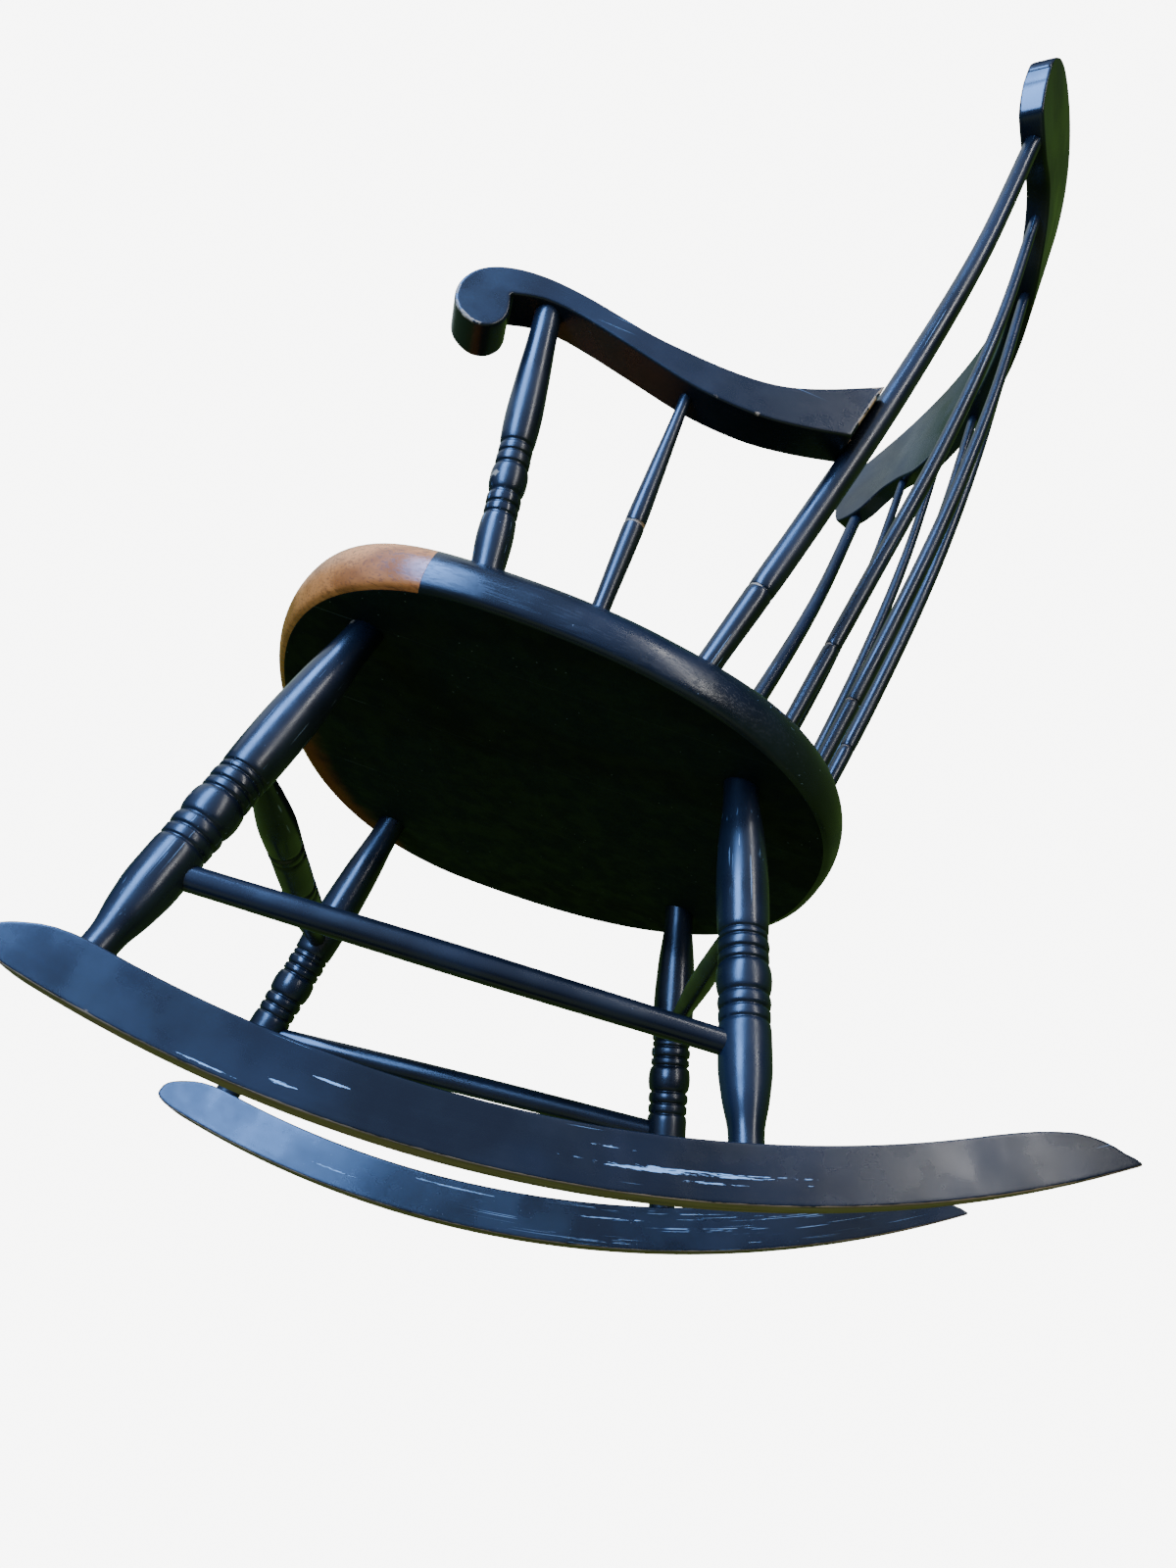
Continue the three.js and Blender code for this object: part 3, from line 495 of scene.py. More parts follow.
class Recipe:
    """A finish as a small set of nodes, with short names for the steps a finisher takes."""

    def __init__(self, name, gloss):
        self.material = bpy.data.materials.new(name)
        self.material.use_nodes = True
        self.tree = self.material.node_tree
        self.surface = self.tree.nodes["Principled BSDF"]
        self.surface.inputs["Specular IOR Level"].default_value = gloss
        self.grain = self.read("grain", "Vector")

    def node(self, kind, inputs=None, **settings):
        return add_node(self.tree, kind, inputs, **settings)

    def read(self, attribute, output="Fac"):
        return self.node("ShaderNodeAttribute", attribute_name=attribute).outputs[output]

    def noise(self, scale, detail=2, stretch=None, shift=(0, 0, 0)):
        vector = self.grain
        if stretch:
            vector = self.node("ShaderNodeMapping",
                               {"Vector": vector, "Scale": stretch, "Location": shift}).outputs[0]
        return self.node("ShaderNodeTexNoise",
                         {"Vector": vector, "Scale": scale, "Detail": detail}).outputs[0]

    def sum(self, a, b, operation="ADD"):
        return self.node("ShaderNodeMath", {0: a, 1: b}, operation=operation).outputs[0]

    def times(self, a, b):
        return self.sum(a, b, "MULTIPLY")

    def fade(self, value, low, high, to_low=0.0, to_high=1.0):
        return self.node("ShaderNodeMapRange", {"Value": value, "From Min": low, "From Max": high,
                                                "To Min": to_low, "To Max": to_high},
                         interpolation_type="SMOOTHSTEP").outputs[0]

    def mix(self, share, a, b):
        a, b = (tuple(c) + (1,) if not isinstance(c, bpy.types.NodeSocket) else c for c in (a, b))
        return self.node("ShaderNodeMix", {"Factor": share, 6: a, 7: b}, data_type="RGBA").outputs[2]

    def specks(self, scale, size, kept):
        """Small round specks: one in each cell of a grid, and only in the share of cells that is kept."""
        cells = self.node("ShaderNodeTexVoronoi", {"Vector": self.grain, "Scale": scale})
        chosen = self.node("ShaderNodeSeparateColor", {"Color": cells.outputs["Color"]}).outputs[0]
        return self.times(self.fade(cells.outputs["Distance"], size, size * 0.4),
                          self.fade(chosen, 1 - kept, 1 - kept + 0.02))

    def scrape(self, centre, reach, fine=False):
        """A scrape along the grain, torn into ragged streaks, or into a field of thin hairlines."""
        place = self.node("ShaderNodeVectorMath", {0: self.grain, 1: centre}, operation="SUBTRACT").outputs[0]
        share = self.node("ShaderNodeVectorMath", {0: place, 1: reach}, operation="DIVIDE").outputs[0]
        far = self.node("ShaderNodeVectorMath", {0: share}, operation="LENGTH").outputs["Value"]
        if fine:
            lines = self.fade(self.noise(1, 1, (150, 1500, 9), (3, 1, 2)), 0.66, 0.7)
            gaps = self.fade(self.noise(1, 2, (40, 300, 38)), 0.46, 0.52)
            return self.times(self.times(lines, gaps), self.fade(far, 1.1, 0.6))
        streaks = self.sum(self.times(self.noise(1, 2, (160, 700, 24)), 0.6),
                           self.times(self.noise(1, 4, (500, 1700, 210)), 0.4))
        return self.fade(self.sum(self.fade(far, 1.25, 0.1, 0, 0.42), streaks), 0.875, 0.905)

    def finish(self, colour, roughness, height, depth):
        bump = self.node("ShaderNodeBump", {"Height": height, "Strength": 1.0, "Distance": depth}).outputs[0]
        for key, value in (("Base Color", colour), ("Roughness", roughness), ("Normal", bump)):
            self.tree.links.new(value, self.surface.inputs[key])
        return self.material


def wood_colour(recipe, light, dark, along):
    """Flowing grain and fine pores; along is the axis that the grain runs on."""
    broad = [42, 42, 42]
    broad[along] = 3.2
    fine = [620, 620, 620]
    fine[along] = 22
    figure = recipe.fade(recipe.noise(1, 5, tuple(broad)), 0.38, 0.68, 0, 0.85)
    pores = recipe.fade(recipe.noise(1, 3, tuple(fine)), 0.5, 0.64)
    flowing = recipe.mix(figure, light, dark)
    return recipe.mix(recipe.times(pores, 0.62), flowing, shade(dark, 0.4)), pores


def black_paint(name, scrapes=(), hairlines=0.3, gloss=0.5):
    """Satin black paint: dulled in clouds, brushed along the piece, dusty, rubbed through to wood on its
    edges and rings, and scraped where scrapes say: (centre, reach, as hairlines) on the blank, in metres."""
    finishes = bpy.context.scene.rocker_finishes
    r = Recipe(name, gloss)
    clouds = r.fade(r.noise(11, 3), 0.38, 0.68)
    brush = r.noise(1, 3, (420, 420, 9))
    orange_peel = r.noise(520, 1)
    paint = r.mix(clouds, finishes.paint, finishes.paint_faded)
    wood, _ = wood_colour(r, finishes.rubbed, shade(finishes.rubbed, 0.55), 2)
    tread, _ = wood_colour(r, finishes.tread, shade(finishes.tread, 0.3), 2)
    patches = r.noise(95, 3)
    rubbed = r.fade(r.sum(r.times(r.read("worn"), 0.62), patches), 0.98, 1.08)
    dulled = r.fade(r.sum(r.times(r.read("worn"), 0.5), patches), 0.86, 1.08, 0, 0.12)
    hair = r.times(r.fade(r.noise(1, 0, (900, 900, 8)), 0.78, 0.8), r.fade(r.noise(7, 1), 0.56, 0.62))
    specks = r.specks(420, 0.15, 0.022)
    colour = r.mix(r.times(hair, hairlines), paint, finishes.scrape)
    colour = r.mix(r.times(specks, 0.35), colour, PAINT_DUST)
    colour = r.mix(dulled, colour, shade(finishes.rubbed, 0.35))
    colour = r.mix(rubbed, colour, wood)
    lost = rubbed
    for centre, reach, fine in scrapes:
        patch = r.scrape(centre, reach, fine)
        colour = r.mix(r.times(patch, 0.85), colour, finishes.scrape)
        lost = r.sum(lost, patch, "MAXIMUM")
    bare = r.fade(r.sum(r.read("bare"), r.times(r.sum(patches, -0.5), 0.5)), 0.46, 0.54)
    colour = r.mix(bare, colour, tread)
    lost = r.sum(lost, bare, "MAXIMUM")
    satin = finishes.paint_gloss
    rough = r.sum(r.fade(r.noise(26, 3), 0.3, 0.7, satin - 0.05, satin + 0.09), r.times(brush, 0.05))
    rough = r.sum(r.sum(rough, r.times(lost, 0.3)), r.times(specks, 0.3))
    height = r.sum(r.sum(r.times(brush, 0.25), r.times(orange_peel, 0.3)), r.times(lost, -0.6))
    return r.finish(colour, rough, r.sum(height, r.times(specks, 0.5)), depth=0.00006)


def seat_finish():
    """The seat's rim and top: natural wood in front of the paint line, satin black behind it."""
    scene = bpy.context.scene
    finishes, seat = scene.rocker_finishes, scene.rocker_seat
    r = Recipe("seat_finish", 0.5)
    wood, pores = wood_colour(r, finishes.natural_light, finishes.natural_dark, 1)
    clouds = r.fade(r.noise(9, 3), 0.38, 0.68)
    paint = r.mix(clouds, finishes.paint, finishes.paint_faded)
    place = r.node("ShaderNodeSeparateXYZ", {"Vector": r.grain})
    shift = grain_shift("seat")
    line = seat.natural_line + shift.y
    edge = r.sum(place.outputs["Y"], r.times(r.sum(r.noise(160, 2), -0.5), 0.0012))
    painted = r.fade(edge, line - 0.0002, line + 0.0002)
    lap = r.times(r.fade(edge, line - 0.0085, line - 0.007), r.fade(edge, line - 0.0045, line - 0.006))
    wood = r.mix(r.times(lap, 0.35), wood, finishes.natural_dark)
    low = r.fade(place.outputs["Z"], shift.z + 0.004, shift.z + 0.03)
    wood = r.mix(r.fade(low, 0, 1, 0.4, 0), wood, finishes.natural_dark)
    specks = r.specks(260, 0.16, 0.04)
    hair = r.times(r.fade(r.noise(1, 0, (700, 14, 700)), 0.77, 0.8), r.fade(r.noise(7, 1), 0.54, 0.6))
    colour = r.mix(r.times(hair, 0.3), paint, finishes.scrape)
    colour = r.mix(r.times(specks, 0.35), colour, SEAT_DUST)
    colour = r.mix(painted, wood, colour)
    satin = finishes.paint_gloss
    rough = r.fade(r.noise(24, 3), 0.3, 0.7, satin - 0.04, satin + 0.1)
    rough = r.sum(rough, r.times(pores, 0.12))
    step = r.sum(r.times(painted, 0.8), r.times(pores, -0.22))
    height = r.sum(step, r.sum(r.times(r.noise(520, 1), 0.28), r.times(specks, 0.4)))
    return r.finish(colour, rough, height, depth=0.0001)


def underside_finish():
    """The flat coat under the seat, tinted green as a painted reflection of the lawn: mottled, with darker
    wet patches, dust and the planks' glue lines, and thin towards the front."""
    finishes = bpy.context.scene.rocker_finishes
    r = Recipe("underside_flat_black", 0.22)
    # The underside colour and its darker and lighter tones carry the painted green reflection of the lawn
    dark = shade(finishes.underside, 0.35)
    wet = r.fade(r.noise(1, 2, (9, 4, 9)), 0.5, 0.56)
    mottle = r.fade(r.noise(210, 3), 0.35, 0.7, 0, 0.55)
    colour = r.mix(mottle, finishes.underside, shade(finishes.underside, 2.2))
    colour = r.mix(r.times(wet, 0.7), colour, dark)
    saw = r.noise(1, 3, (30, 420, 30))
    specks = r.specks(210, 0.17, 0.06)
    colour = r.mix(r.times(specks, 0.5), colour, UNDERSIDE_DUST)
    place = r.node("ShaderNodeSeparateXYZ", {"Vector": r.grain})
    shift = grain_shift("seat")
    open_from, open_to = (y + shift.y for y in OPENED)
    lines = None
    for x in GLUE_LINES:
        off = r.sum(place.outputs["X"], -(x + shift.x))
        near = r.fade(r.node("ShaderNodeMath", {0: off}, operation="ABSOLUTE").outputs[0], 0.0008, 0.0003)
        lines = near if lines is None else r.sum(lines, near, "MAXIMUM")
    opened = r.times(r.fade(place.outputs["Y"], open_from - 0.002, open_from + 0.002),
                     r.fade(place.outputs["Y"], open_to + 0.004, open_to - 0.004))
    colour = r.mix(r.times(lines, r.fade(opened, 0, 1, 0.12, 0.8)), colour,
                   GLUE_LINE_COLOUR)
    thin = r.fade(r.sum(r.read("bare"), r.times(r.sum(r.noise(45, 3), -0.5), 0.5)), 0.25, 0.95)
    colour = r.mix(r.times(thin, 0.75), colour, finishes.natural_dark)
    rough = r.fade(r.noise(60, 3), 0.3, 0.7, 0.62, 0.85)
    height = r.sum(r.sum(r.times(saw, 0.35), r.times(r.noise(420, 2), 0.6)), r.times(lines, -0.7))
    return r.finish(colour, rough, height, depth=0.00022)


def bare_wood():
    """The plain dowels that are never seen."""
    finishes = bpy.context.scene.rocker_finishes
    r = Recipe("dowel_wood", 0.35)
    r.grain = r.node("ShaderNodeTexCoord").outputs["Object"]
    colour, pores = wood_colour(r, finishes.rubbed, shade(finishes.rubbed, 0.6), 1)
    return r.finish(colour, r.fade(pores, 0, 1, 0.55, 0.7), r.times(pores, -0.4), depth=0.0002)


def shared_paint():
    """The paint that every turned piece, arm and the crest wears, mixed once."""
    return bpy.data.materials.get(SHARED_PAINT) or black_paint(SHARED_PAINT)


# Pieces

def rocker_top_z(y):
    runners = bpy.context.scene.rocker_runners
    return runners.centre_z - math.sqrt((runners.radius - runners.height) ** 2 - y * y)


def leg_ends(leg):
    foot = Vector((leg["foot"][0], leg["foot"][1], 0)) * MM
    foot.z = rocker_top_z(foot.y)
    return foot, Vector((leg["top"][0], leg["top"][1], 0)) * MM


def leg_point(leg, share):
    """A point on a leg's axis, as a share of the way down from the seat."""
    foot, top = leg_ends(leg)
    return top.lerp(foot, share)


def mirror(point):
    return Vector((-point.x, point.y, point.z))


class ROCKER_OT_seat(Operator):
    """Shapes the plank seat: rolled front and rear, dished top, flat underside"""
    bl_idname = "rocker.seat"
    bl_label = "Seat"

    def execute(self, context):
        sizes = context.scene.rocker_seat
        thick = SEAT_RIM[-1][1]

        def reach(angle):
            depth = sizes.front if math.sin(angle) < 0 else sizes.rear
            n = sizes.squareness
            across, along = abs(math.cos(angle) / sizes.half_width), abs(math.sin(angle) / depth)
            return (across ** n + along ** n) ** (-1 / n)

        def roll(angle):
            front = smooth(-math.sin(angle), 0.05, 0.6)
            rear = smooth(math.sin(angle), 0.45, 0.85)
            return [(a * front + b * rear) * MM for a, b in zip(ROLL_FRONT, ROLL_REAR)]

        under = [(share, -3 * share, 0) for share in SEAT_UNDER_RINGS]
        rim = [(1, p.x, p.y) for p in spline([(a, b, 0) for a, b in SEAT_RIM], per_span=4)]
        dish = sizes.dish / MM
        saddle = [(share, 0, thick - dish * max(0, 1 - (share / SADDLE_REACH) ** 2) ** 1.3)
                  for share in SEAT_TOP_RINGS]
        rings, unpainted = [], []
        for share, beyond, z in under + rim + saddle:
            ring = []
            for k in range(SEAT_FLATS):
                angle = 2 * math.pi * k / SEAT_FLATS
                out, up = roll(angle)
                rise = z / thick
                r = share * (reach(angle) + out * rise) + beyond * MM
                ring.append((r * math.cos(angle), sizes.centre_y + r * math.sin(angle),
                             z * MM + up * rise * share ** 4))
            rings.append(ring)
            unpainted.append([smooth(share, 0.84, 0.99) * smooth(-y, 0.06, 0.1) * smooth(-x, -0.1, 0.03)
                              for x, y, _ in ring])
        skin("seat", rings, rings, 0, [seat_finish(), underside_finish()], bare=unpainted,
             slot="seat_finish", finish_of=lambda row: int(row < len(under)))
        return {"FINISHED"}


class ROCKER_OT_legs(Operator):
    """Turns the four legs"""
    bl_idname = "rocker.legs"
    bl_label = "Legs"

    def execute(self, context):
        for key, leg in (("front", FRONT_LEG), ("rear", REAR_LEG)):
            foot, top = leg_ends(leg)
            line = Straight(foot, top)
            length = line.length / MM
            band_top = LEG_BAND_STICK[-1][0]
            free = length - band_top
            swell = [[band_top + share * free, radius] for share, radius in LEG_SWELL]
            stick = faired([*LEG_FOOT_STICK, *LEG_BAND_STICK, *swell, *from_top(LEG_TOP_STICK, length)])
            rubs = [*LEG_RUBS, (length + LEG_TOP_RUB[0], *LEG_TOP_RUB[1:])]
            for side, label in SIDES:
                turned(f"leg_{key}_{label}", stick, line, STOUT_FLATS, rubs, side)
        return {"FINISHED"}


def plain_stick(length, thin, thick):
    """A stretcher that swells evenly to its middle."""
    between = 0.5 * (thin + thick)
    return faired([[STRETCHER_SHORT, thin], [24, thin], [0.25 * length, between], [0.5 * length, thick],
                   [0.75 * length, between], [length - 24, thin], [length - STRETCHER_SHORT, thin]])


def ringed_stick(length, thin, neck, thick):
    """The front stretcher: two beads, each between a pair of grooves, either side of a barrel."""
    half = [[STRETCHER_SHORT, thin], [24, neck], [0.16 * length, 0.62 * thick + 0.38 * thin],
            [0.28 * length, thick], [0.36 * length, 0.97 * thick], [FRONT_GROOVES[0] * length, thick - 2],
            [0.382 * length, thick - 0.4], [0.398 * length, thick - 0.4],
            [FRONT_GROOVES[1] * length, thick - 2], [0.42 * length, thick - 0.7]]
    other = [[length - at, radius] for at, radius in reversed(half)]
    return faired([*half, [0.5 * length, thick - 0.5], *other])


class ROCKER_OT_stretchers(Operator):
    """Turns the two side stretchers, the ringed front stretcher and the plain rear one"""
    bl_idname = "rocker.stretchers"
    bl_label = "Stretchers"

    def execute(self, context):
        line = Straight(leg_point(FRONT_LEG, SIDE_STRETCHER_AT[0]), leg_point(REAR_LEG, SIDE_STRETCHER_AT[1]))
        stick = plain_stick(line.length / MM, *SIDE_STRETCHER_R)
        for side, label in SIDES:
            turned(f"side_stretcher_{label}", stick, line, SLENDER_FLATS, side=side)
        end = leg_point(FRONT_LEG, FRONT_STRETCHER_AT)
        line = Straight(end, mirror(end))
        length = line.length / MM
        rubs = [(share * length, 1.6, 0.4, None)
                for share in (*FRONT_GROOVES, *(1 - share for share in FRONT_GROOVES))]
        turned("front_stretcher", ringed_stick(length, *FRONT_STRETCHER_R), line, STOUT_FLATS, rubs)
        end = leg_point(REAR_LEG, REAR_STRETCHER_AT)
        line = Straight(end, mirror(end))
        turned("rear_stretcher", plain_stick(line.length / MM, *REAR_STRETCHER_R), line, SLENDER_FLATS)
        return {"FINISHED"}


class ROCKER_OT_rockers(Operator):
    """Saws the two rockers, with their noses, rounded edges and worn treads"""
    bl_idname = "rocker.rockers"
    bl_label = "Rockers"

    def execute(self, context):
        sizes = context.scene.rocker_runners
        half, edge = sizes.thickness / 2, ROCKER_EDGE
        front, rear = FRONT_LEG["foot"], REAR_LEG["foot"]
        slope = (rear[0] - front[0]) / (rear[1] - front[1])
        middle_x = (front[0] - slope * front[1]) * MM
        straight = np.linspace(ROCKER_FRONT_NOSE[-1][0], ROCKER_REAR_NOSE[0][0], ROCKER_STATIONS)[1:-1]
        stations = [*ROCKER_FRONT_NOSE, *((a, 0, sizes.height / MM) for a in straight), *ROCKER_REAR_NOSE]
        sections = []

        def saw(degrees, low, high, inset=0.0, beyond=0.0):
            ring, blank, rub, tread = [], [], [], []
            middle, depth = (low + high) / 2 * MM, (high - low) * MM
            for across, up, near in board_ring(half, low * MM, high * MM, edge):
                across *= 1 - inset / half
                up = middle + (up - middle) * (1 - min(0.9, 2 * inset / depth))
                along = sizes.radius * math.radians(degrees) + beyond
                angle = along / sizes.radius
                reach = sizes.radius - up
                y = reach * math.sin(angle)
                ring.append((middle_x + slope * y + across, y, sizes.centre_z - reach * math.cos(angle)))
                blank.append((across, up, along))
                rub.append(1.1 if up < low * MM + 0.6 * edge else 0.4 * near)
                tread.append(1 if up < low * MM + 0.3 * edge else 0)
            sections.append((ring, blank, rub, tread))

        rounds = rounded_end(edge, (80, 55, 28))
        for inset, beyond in rounds:
            saw(*stations[0], inset, -beyond)
        for station in stations[1:-1]:
            saw(*station)
        for inset, beyond in reversed(rounds):
            saw(*stations[-1], inset, beyond)
        rings, blanks, worn, bare = zip(*sections)
        scrapes = {"left": (LEFT_SCRAPES, ()), "right": (RIGHT_SCRAPES, RIGHT_HAIRLINES)}
        for side, label in SIDES:
            shift = grain_shift(f"rocker_{label}")
            places = [(Vector(centre) * MM + shift, Vector(reach) * MM, fine)
                      for fine, patches in enumerate(scrapes[label]) for centre, reach in patches]
            finish = black_paint(f"black_paint_rocker_{label}", places, hairlines=0.6, gloss=0.45)
            skin(f"rocker_{label}", rings, blanks, worn, [finish], bare=bare, side=side)
        return {"FINISHED"}


class ROCKER_OT_arm_supports(Operator):
    """Turns the arm posts and the slender arm spindles"""
    bl_idname = "rocker.arm_supports"
    bl_label = "Arm posts and spindles"

    def execute(self, context):
        post, spindle = (Straight(Vector(piece["base"]) * MM, Vector(piece["top"]) * MM)
                         for piece in (ARM_POST, ARM_SPINDLE))
        post_stick = faired([*ARM_POST_STICK, *from_top(ARM_POST_TOP_STICK, post.length / MM)])
        length = spindle.length / MM
        ring = ARM_SPINDLE_RING_AT * length
        spindle_stick = faired([*ARM_SPINDLE_FOOT_STICK,
                                *([ring + height, radius] for height, radius in ARM_SPINDLE_RING_STICK),
                                [ARM_SPINDLE_WAIST[0] * length, ARM_SPINDLE_WAIST[1]],
                                *from_top(ARM_SPINDLE_TOP_STICK, length)])
        for side, label in SIDES:
            turned(f"arm_post_{label}", post_stick, post, STOUT_FLATS, ARM_POST_RUBS, side)
            turned(f"arm_spindle_{label}", spindle_stick, spindle, SLENDER_FLATS, [(ring, *RING_RUB, None)],
                   side)
        return {"FINISHED"}


def arm_outline():
    """The arm's side as a closed run of points, with the straight rear end and throat filled in."""
    upper = [Vector((p.x, p.y)) for p in spline([(y, z, 0) for y, z in ARM_UPPER], per_span=6)]
    lower = [Vector((p.x, p.y)) for p in spline([(y, z, 0) for y, z in ARM_LOWER], per_span=10)]
    throat = [upper[-1].lerp(lower[0], t) for t in (0.33, 0.67)]
    rear = [lower[-1].lerp(upper[0], t) for t in (0.25, 0.5, 0.75)]
    return [*upper, *throat, *lower, *rear]


def inset_outline(outline, inset):
    """The outline moved inwards by inset, mitred at its corners."""
    area = sum(a.x * b.y - b.x * a.y for a, b in zip(outline, outline[1:] + outline[:1]))
    turn = 1 if area > 0 else -1
    moved = []
    for i, point in enumerate(outline):
        before = (point - outline[i - 1]).normalized()
        after = (outline[(i + 1) % len(outline)] - point).normalized()
        inward = Vector((-before.y - after.y, before.x + after.x)).normalized() * turn
        mitre = max(0.6, math.sqrt(max(0, (1 + before.dot(after)) / 2)))
        moved.append(point + inward * inset / mitre)
    return moved


class ROCKER_OT_arms(Operator):
    """Saws and scrolls the two arms"""
    bl_idname = "rocker.arms"
    bl_label = "Arms"

    def execute(self, context):
        sizes = context.scene.rocker_arms
        half, edge = sizes.width / 2 / MM, sizes.edge / MM
        corner = [math.radians(a) for a in (0, 22, 45, 68, 90)]
        face = [(edge + 1.2, half, 0.15)]
        face += [(edge * (1 - math.sin(a)), half - edge * (1 - math.cos(a)), 1) for a in corner]
        face += [(0, half - edge - 1.2, 0.4), (0, half - edge - 4, 0.1)]
        layers = face + [(0, 0, 0)] + [(inset, -level, near) for inset, level, near in reversed(face)]
        outline = arm_outline()
        across = Vector((1, -ARM_TOE, 0)).normalized()
        outer_x = ARM_OUTER_X - ARM_TOE * ARM_REAR_Y
        sections = []
        for inset, level, near in layers:
            ring, blank, rub = [], [], []
            for point in inset_outline(outline, inset):
                depth = level - half
                place = Vector((outer_x + ARM_TOE * point.x, point.x, point.y)) + across * depth
                ring.append(place * MM)
                blank.append((depth * MM, point.y * MM, point.x * MM))
                scroll = smooth(-point.x, 60, 90) * smooth(-point.y, -262, -225)
                rear = smooth(point.x, 192, 200)
                rub.append(near * max(0.52, 0.95 * scroll, 0.85 * rear))
            sections.append((ring, blank, rub))
        dowel_wood = bare_wood()
        for side, label in SIDES:
            skin(f"arm_{label}", *zip(*sections), [shared_paint()], side=side)
            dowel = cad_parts[f"arm_dowel_{label}"]
            dowel.data.materials.clear()
            dowel.data.materials.append(dowel_wood)
        return {"FINISHED"}


def back_stick(length, foot, middle, head, ring):
    """A back post or spindle: a ring near its foot, then a long taper to the crest rail."""
    neck = 0.35 * foot + 0.65 * middle
    rows = [[-20, foot], [6, foot], [ring - 1.7, neck], [ring, neck - 1], [ring + 1.7, neck]]
    start, steps = ring + 24, 7
    for i in range(steps + 1):
        share = i / steps
        height = start + share * (length - 10 - start)
        rows.append([height, middle + (head - middle) * smooth(share, 0.15, 1)])
    rows.append([length + 22, head])
    return faired(rows)


class ROCKER_OT_back(Operator):
    """Turns and bends the two back posts and the six back spindles"""
    bl_idname = "rocker.back"
    bl_label = "Back posts and spindles"

    def execute(self, context):
        path = Path(POST_PATH)
        stick = back_stick(path.length / MM, **BACK_POST_STICK)
        rubs = [(BACK_POST_STICK["ring"], *RING_RUB, BACK_RING_FACES)]
        for side, label in SIDES:
            turned(f"back_post_{label}", stick, path, STOUT_FLATS, rubs, side)
        for i, (points, sizes) in enumerate(zip(SPINDLE_PATHS, BACK_SPINDLE_STICKS)):
            path = Path(points)
            stick = back_stick(path.length / MM, **sizes)
            rubs = [(sizes["ring"], *RING_RUB, BACK_RING_FACES)]
            for side, number in ((1, i + 1), (-1, 2 * len(SPINDLE_PATHS) - i)):
                turned(f"back_spindle_{number}", stick, path, SPINDLE_FLATS, rubs, side)
        return {"FINISHED"}


class ROCKER_OT_crest(Operator):
    """Bends and shapes the crest rail"""
    bl_idname = "rocker.crest"
    bl_label = "Crest rail"

    def execute(self, context):
        sizes = context.scene.rocker_crest
        half, edge = sizes.thickness / 2, sizes.edge
        lower = np.array(faired(CREST_LOWER)).T
        upper = np.array(faired(CREST_UPPER)).T
        end = CREST_LOWER[-1][0]
        right = [*range(0, 280, 7), 280, 284, 287, 290, 292.5, 294.5, 296, end]
        stations = [-x for x in reversed(right[1:])] + right
        sections = []

        def shape(x, inset=0.0, beyond=0.0):
            low, high = (float(np.interp(abs(x), *table)) * MM for table in (lower, upper))
            middle = (low + high) / 2
            x = x * MM + beyond
            turn = math.atan(x / sizes.bend)
            ring, blank, rub = [], [], []
            for across, z, near in board_ring(half, low, high, edge):
                across *= 1 - inset / half
                z = middle + (z - middle) * (1 - 2 * inset / (high - low))
                y = CREST_Y * MM - x * x / (2 * sizes.bend) + CREST_LEAN * (z - CREST_Z * MM)
                ring.append((x + across * math.sin(turn), y + across * math.cos(turn), z))
                blank.append((across, z, x))
                rub.append(near * 0.5)
            sections.append((ring, blank, rub))

        rounds = rounded_end(edge, (85, 62, 40, 20))
        for inset, beyond in rounds:
            shape(-end, inset, -beyond)
        for x in stations[1:-1]:
            if abs(x) * MM < end * MM - edge:
                shape(x)
        for inset, beyond in reversed(rounds):
            shape(end, inset, beyond)
        skin("crest_rail", *zip(*sections), [shared_paint()])
        return {"FINISHED"}


class ROCKER_OT_stage(Operator):
    """Sets the pale glowing floor, the backdrop, the coloured lights and the camera"""
    bl_idname = "rocker.stage"
    bl_label = "Stage"

    def execute(self, context):
        studio = context.scene.rocker_studio
        bpy.ops.mesh.primitive_plane_add(size=FLOOR_SIZE, location=(0, 0, -FLOOR_BELOW))
        floor = context.object
        floor.name = "stage_floor"
        floor.data.materials.append(floor_finish(studio.backdrop))
        for ray in ("diffuse", "glossy", "shadow", "transmission"):
            setattr(floor, f"visible_{ray}", False)
        for name, (place, size, tint) in LAMPS.items():
            lamp = bpy.data.lights.new(f"{name}_light", "AREA")
            lamp.shape = "RECTANGLE"
            lamp.size, lamp.size_y = size
            lamp.energy = getattr(studio, f"{name}_power")
            lamp.color = tint
            light = bpy.data.objects.new(lamp.name, lamp)
            context.scene.collection.objects.link(light)
            light.location = place
            light.rotation_euler = (Vector(LAMPS_AIM) - Vector(place)).to_track_quat("-Z", "Y").to_euler()
        set_backdrop(context.scene, studio)
        lens = bpy.data.cameras.new("camera")
        lens.sensor_width = SENSOR_WIDTH
        lens.lens = studio.camera_lens
        lens.clip_start = 0.01
        camera = bpy.data.objects.new("camera", lens)
        context.scene.collection.objects.link(camera)
        camera.location = studio.camera_place
        camera.rotation_euler = Euler(studio.camera_turn)
        context.scene.camera = camera
        return {"FINISHED"}


def floor_finish(colour):
    """A pale floor that is solid from above and clear from below, where the camera stands."""
    material = bpy.data.materials.new("stage_floor")
    material.use_nodes = True
    tree = material.node_tree
    surface = tree.nodes["Principled BSDF"]
    for key, value in (("Base Color", (*colour, 1)), ("Roughness", 0.9), ("Emission Color", FLOOR_GLOW),
                       ("Emission Strength", 1.0)):
        surface.inputs[key].default_value = value
    below = add_node(tree, "ShaderNodeNewGeometry").outputs["Backfacing"]
    clear = add_node(tree, "ShaderNodeBsdfTransparent").outputs[0]
    either = add_node(tree, "ShaderNodeMixShader", {0: below, 1: surface.outputs[0], 2: clear})
    tree.links.new(either.outputs[0], tree.nodes["Material Output"].inputs["Surface"])
    return material


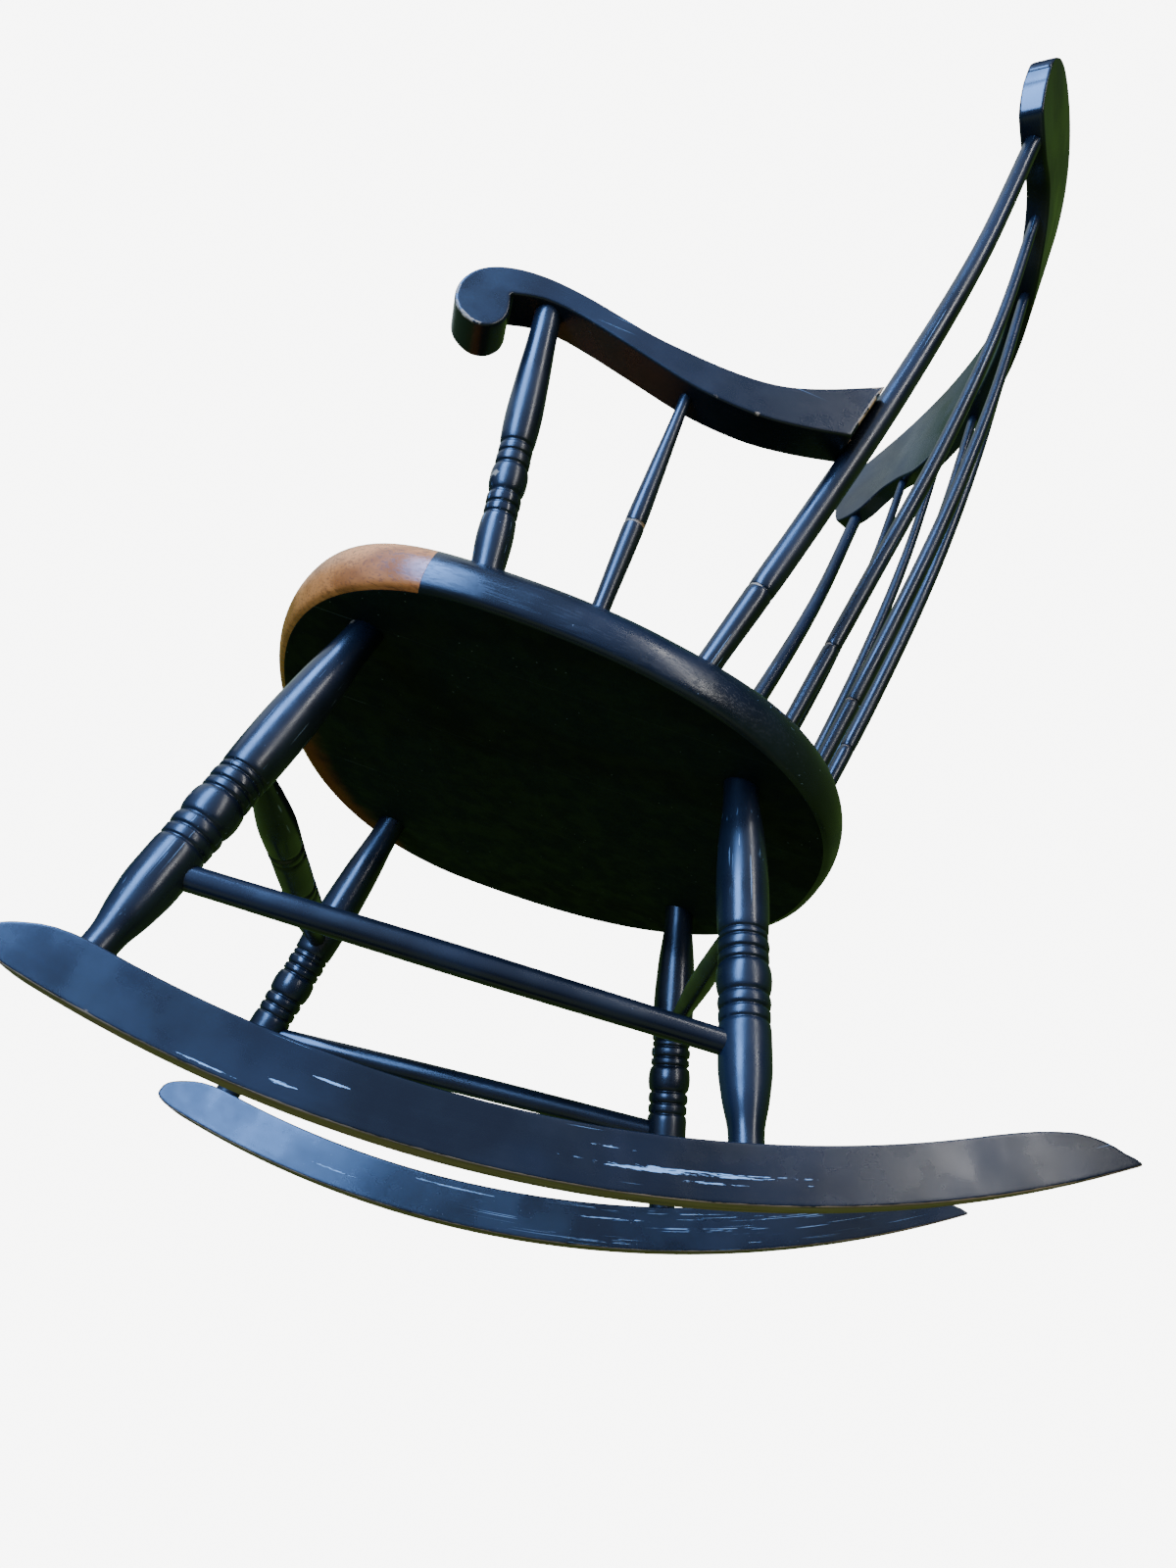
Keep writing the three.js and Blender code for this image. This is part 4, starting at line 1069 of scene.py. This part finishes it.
def set_backdrop(scene, studio):
    """A plain pale world to look at; what lights the chair is a blue sky on one side and a green lawn on the
    other, with a dark hedge between them."""
    world = bpy.data.worlds.new("backdrop")
    scene.world = world
    world.use_nodes = True
    tree = world.node_tree
    seen = tree.nodes["Background"]
    seen.inputs["Color"].default_value = (*studio.backdrop, 1)
    seen.inputs["Strength"].default_value = BACKDROP_STRENGTH
    place = add_node(tree, "ShaderNodeTexCoord").outputs["Generated"]
    towards = add_node(tree, "ShaderNodeVectorMath", {0: place, 1: Vector(SKY_DIRECTION).normalized()},
                       operation="DOT_PRODUCT").outputs["Value"]
    share = add_node(tree, "ShaderNodeMapRange", {"Value": towards, "From Min": -1}).outputs[0]
    round_about = add_node(tree, "ShaderNodeValToRGB", {0: share})
    stops = round_about.color_ramp.elements
    stops[0].position, stops[0].color = LAWN_ENDS, (*studio.lawn, 1)
    stops[1].position, stops[1].color = SKY_FULL, (*studio.sky, 1)
    stops.new(SKY_BEGINS).color = (*studio.hedge, 1)
    lighting = add_node(tree, "ShaderNodeBackground", {"Color": round_about.outputs[0]}).outputs[0]
    to_camera = add_node(tree, "ShaderNodeLightPath").outputs["Is Camera Ray"]
    either = add_node(tree, "ShaderNodeMixShader", {0: to_camera, 1: lighting, 2: seen.outputs[0]})
    tree.links.new(either.outputs[0], tree.nodes["World Output"].inputs["Surface"])


SIZES = {"rocker_seat": RockerSeatSizes, "rocker_runners": RockerRunnerSizes, "rocker_arms": RockerArmSizes,
         "rocker_crest": RockerCrestSizes, "rocker_finishes": RockerFinishes, "rocker_studio": RockerStudio}
STEPS = (ROCKER_OT_seat, ROCKER_OT_legs, ROCKER_OT_stretchers, ROCKER_OT_rockers, ROCKER_OT_arm_supports,
         ROCKER_OT_arms, ROCKER_OT_back, ROCKER_OT_crest, ROCKER_OT_stage)


class ROCKER_PT_panel(Panel):
    """The rocker's steps, sizes and finishes"""
    bl_idname = "ROCKER_PT_panel"
    bl_label = "Boston rocker"
    bl_space_type = "VIEW_3D"
    bl_region_type = "UI"
    bl_category = "Rocker"

    def draw(self, context):
        for step in STEPS:
            self.layout.operator(step.bl_idname)
        for key, group in SIZES.items():
            box = self.layout.box()
            for name in group.__annotations__:
                box.prop(getattr(context.scene, key), name)


def register():
    for group in SIZES.values():
        bpy.utils.register_class(group)
    for step in STEPS:
        bpy.utils.register_class(step)
    bpy.utils.register_class(ROCKER_PT_panel)
    for key, group in SIZES.items():
        setattr(bpy.types.Scene, key, PointerProperty(type=group))


def unregister():
    for key in SIZES:
        delattr(bpy.types.Scene, key)
    bpy.utils.unregister_class(ROCKER_PT_panel)
    for cls in (*reversed(STEPS), *SIZES.values()):
        bpy.utils.unregister_class(cls)


def main():
    register()
    for step in STEPS:
        group, name = step.bl_idname.split(".")
        getattr(getattr(bpy.ops, group), name)()


if __name__ == "__main__":
    main()
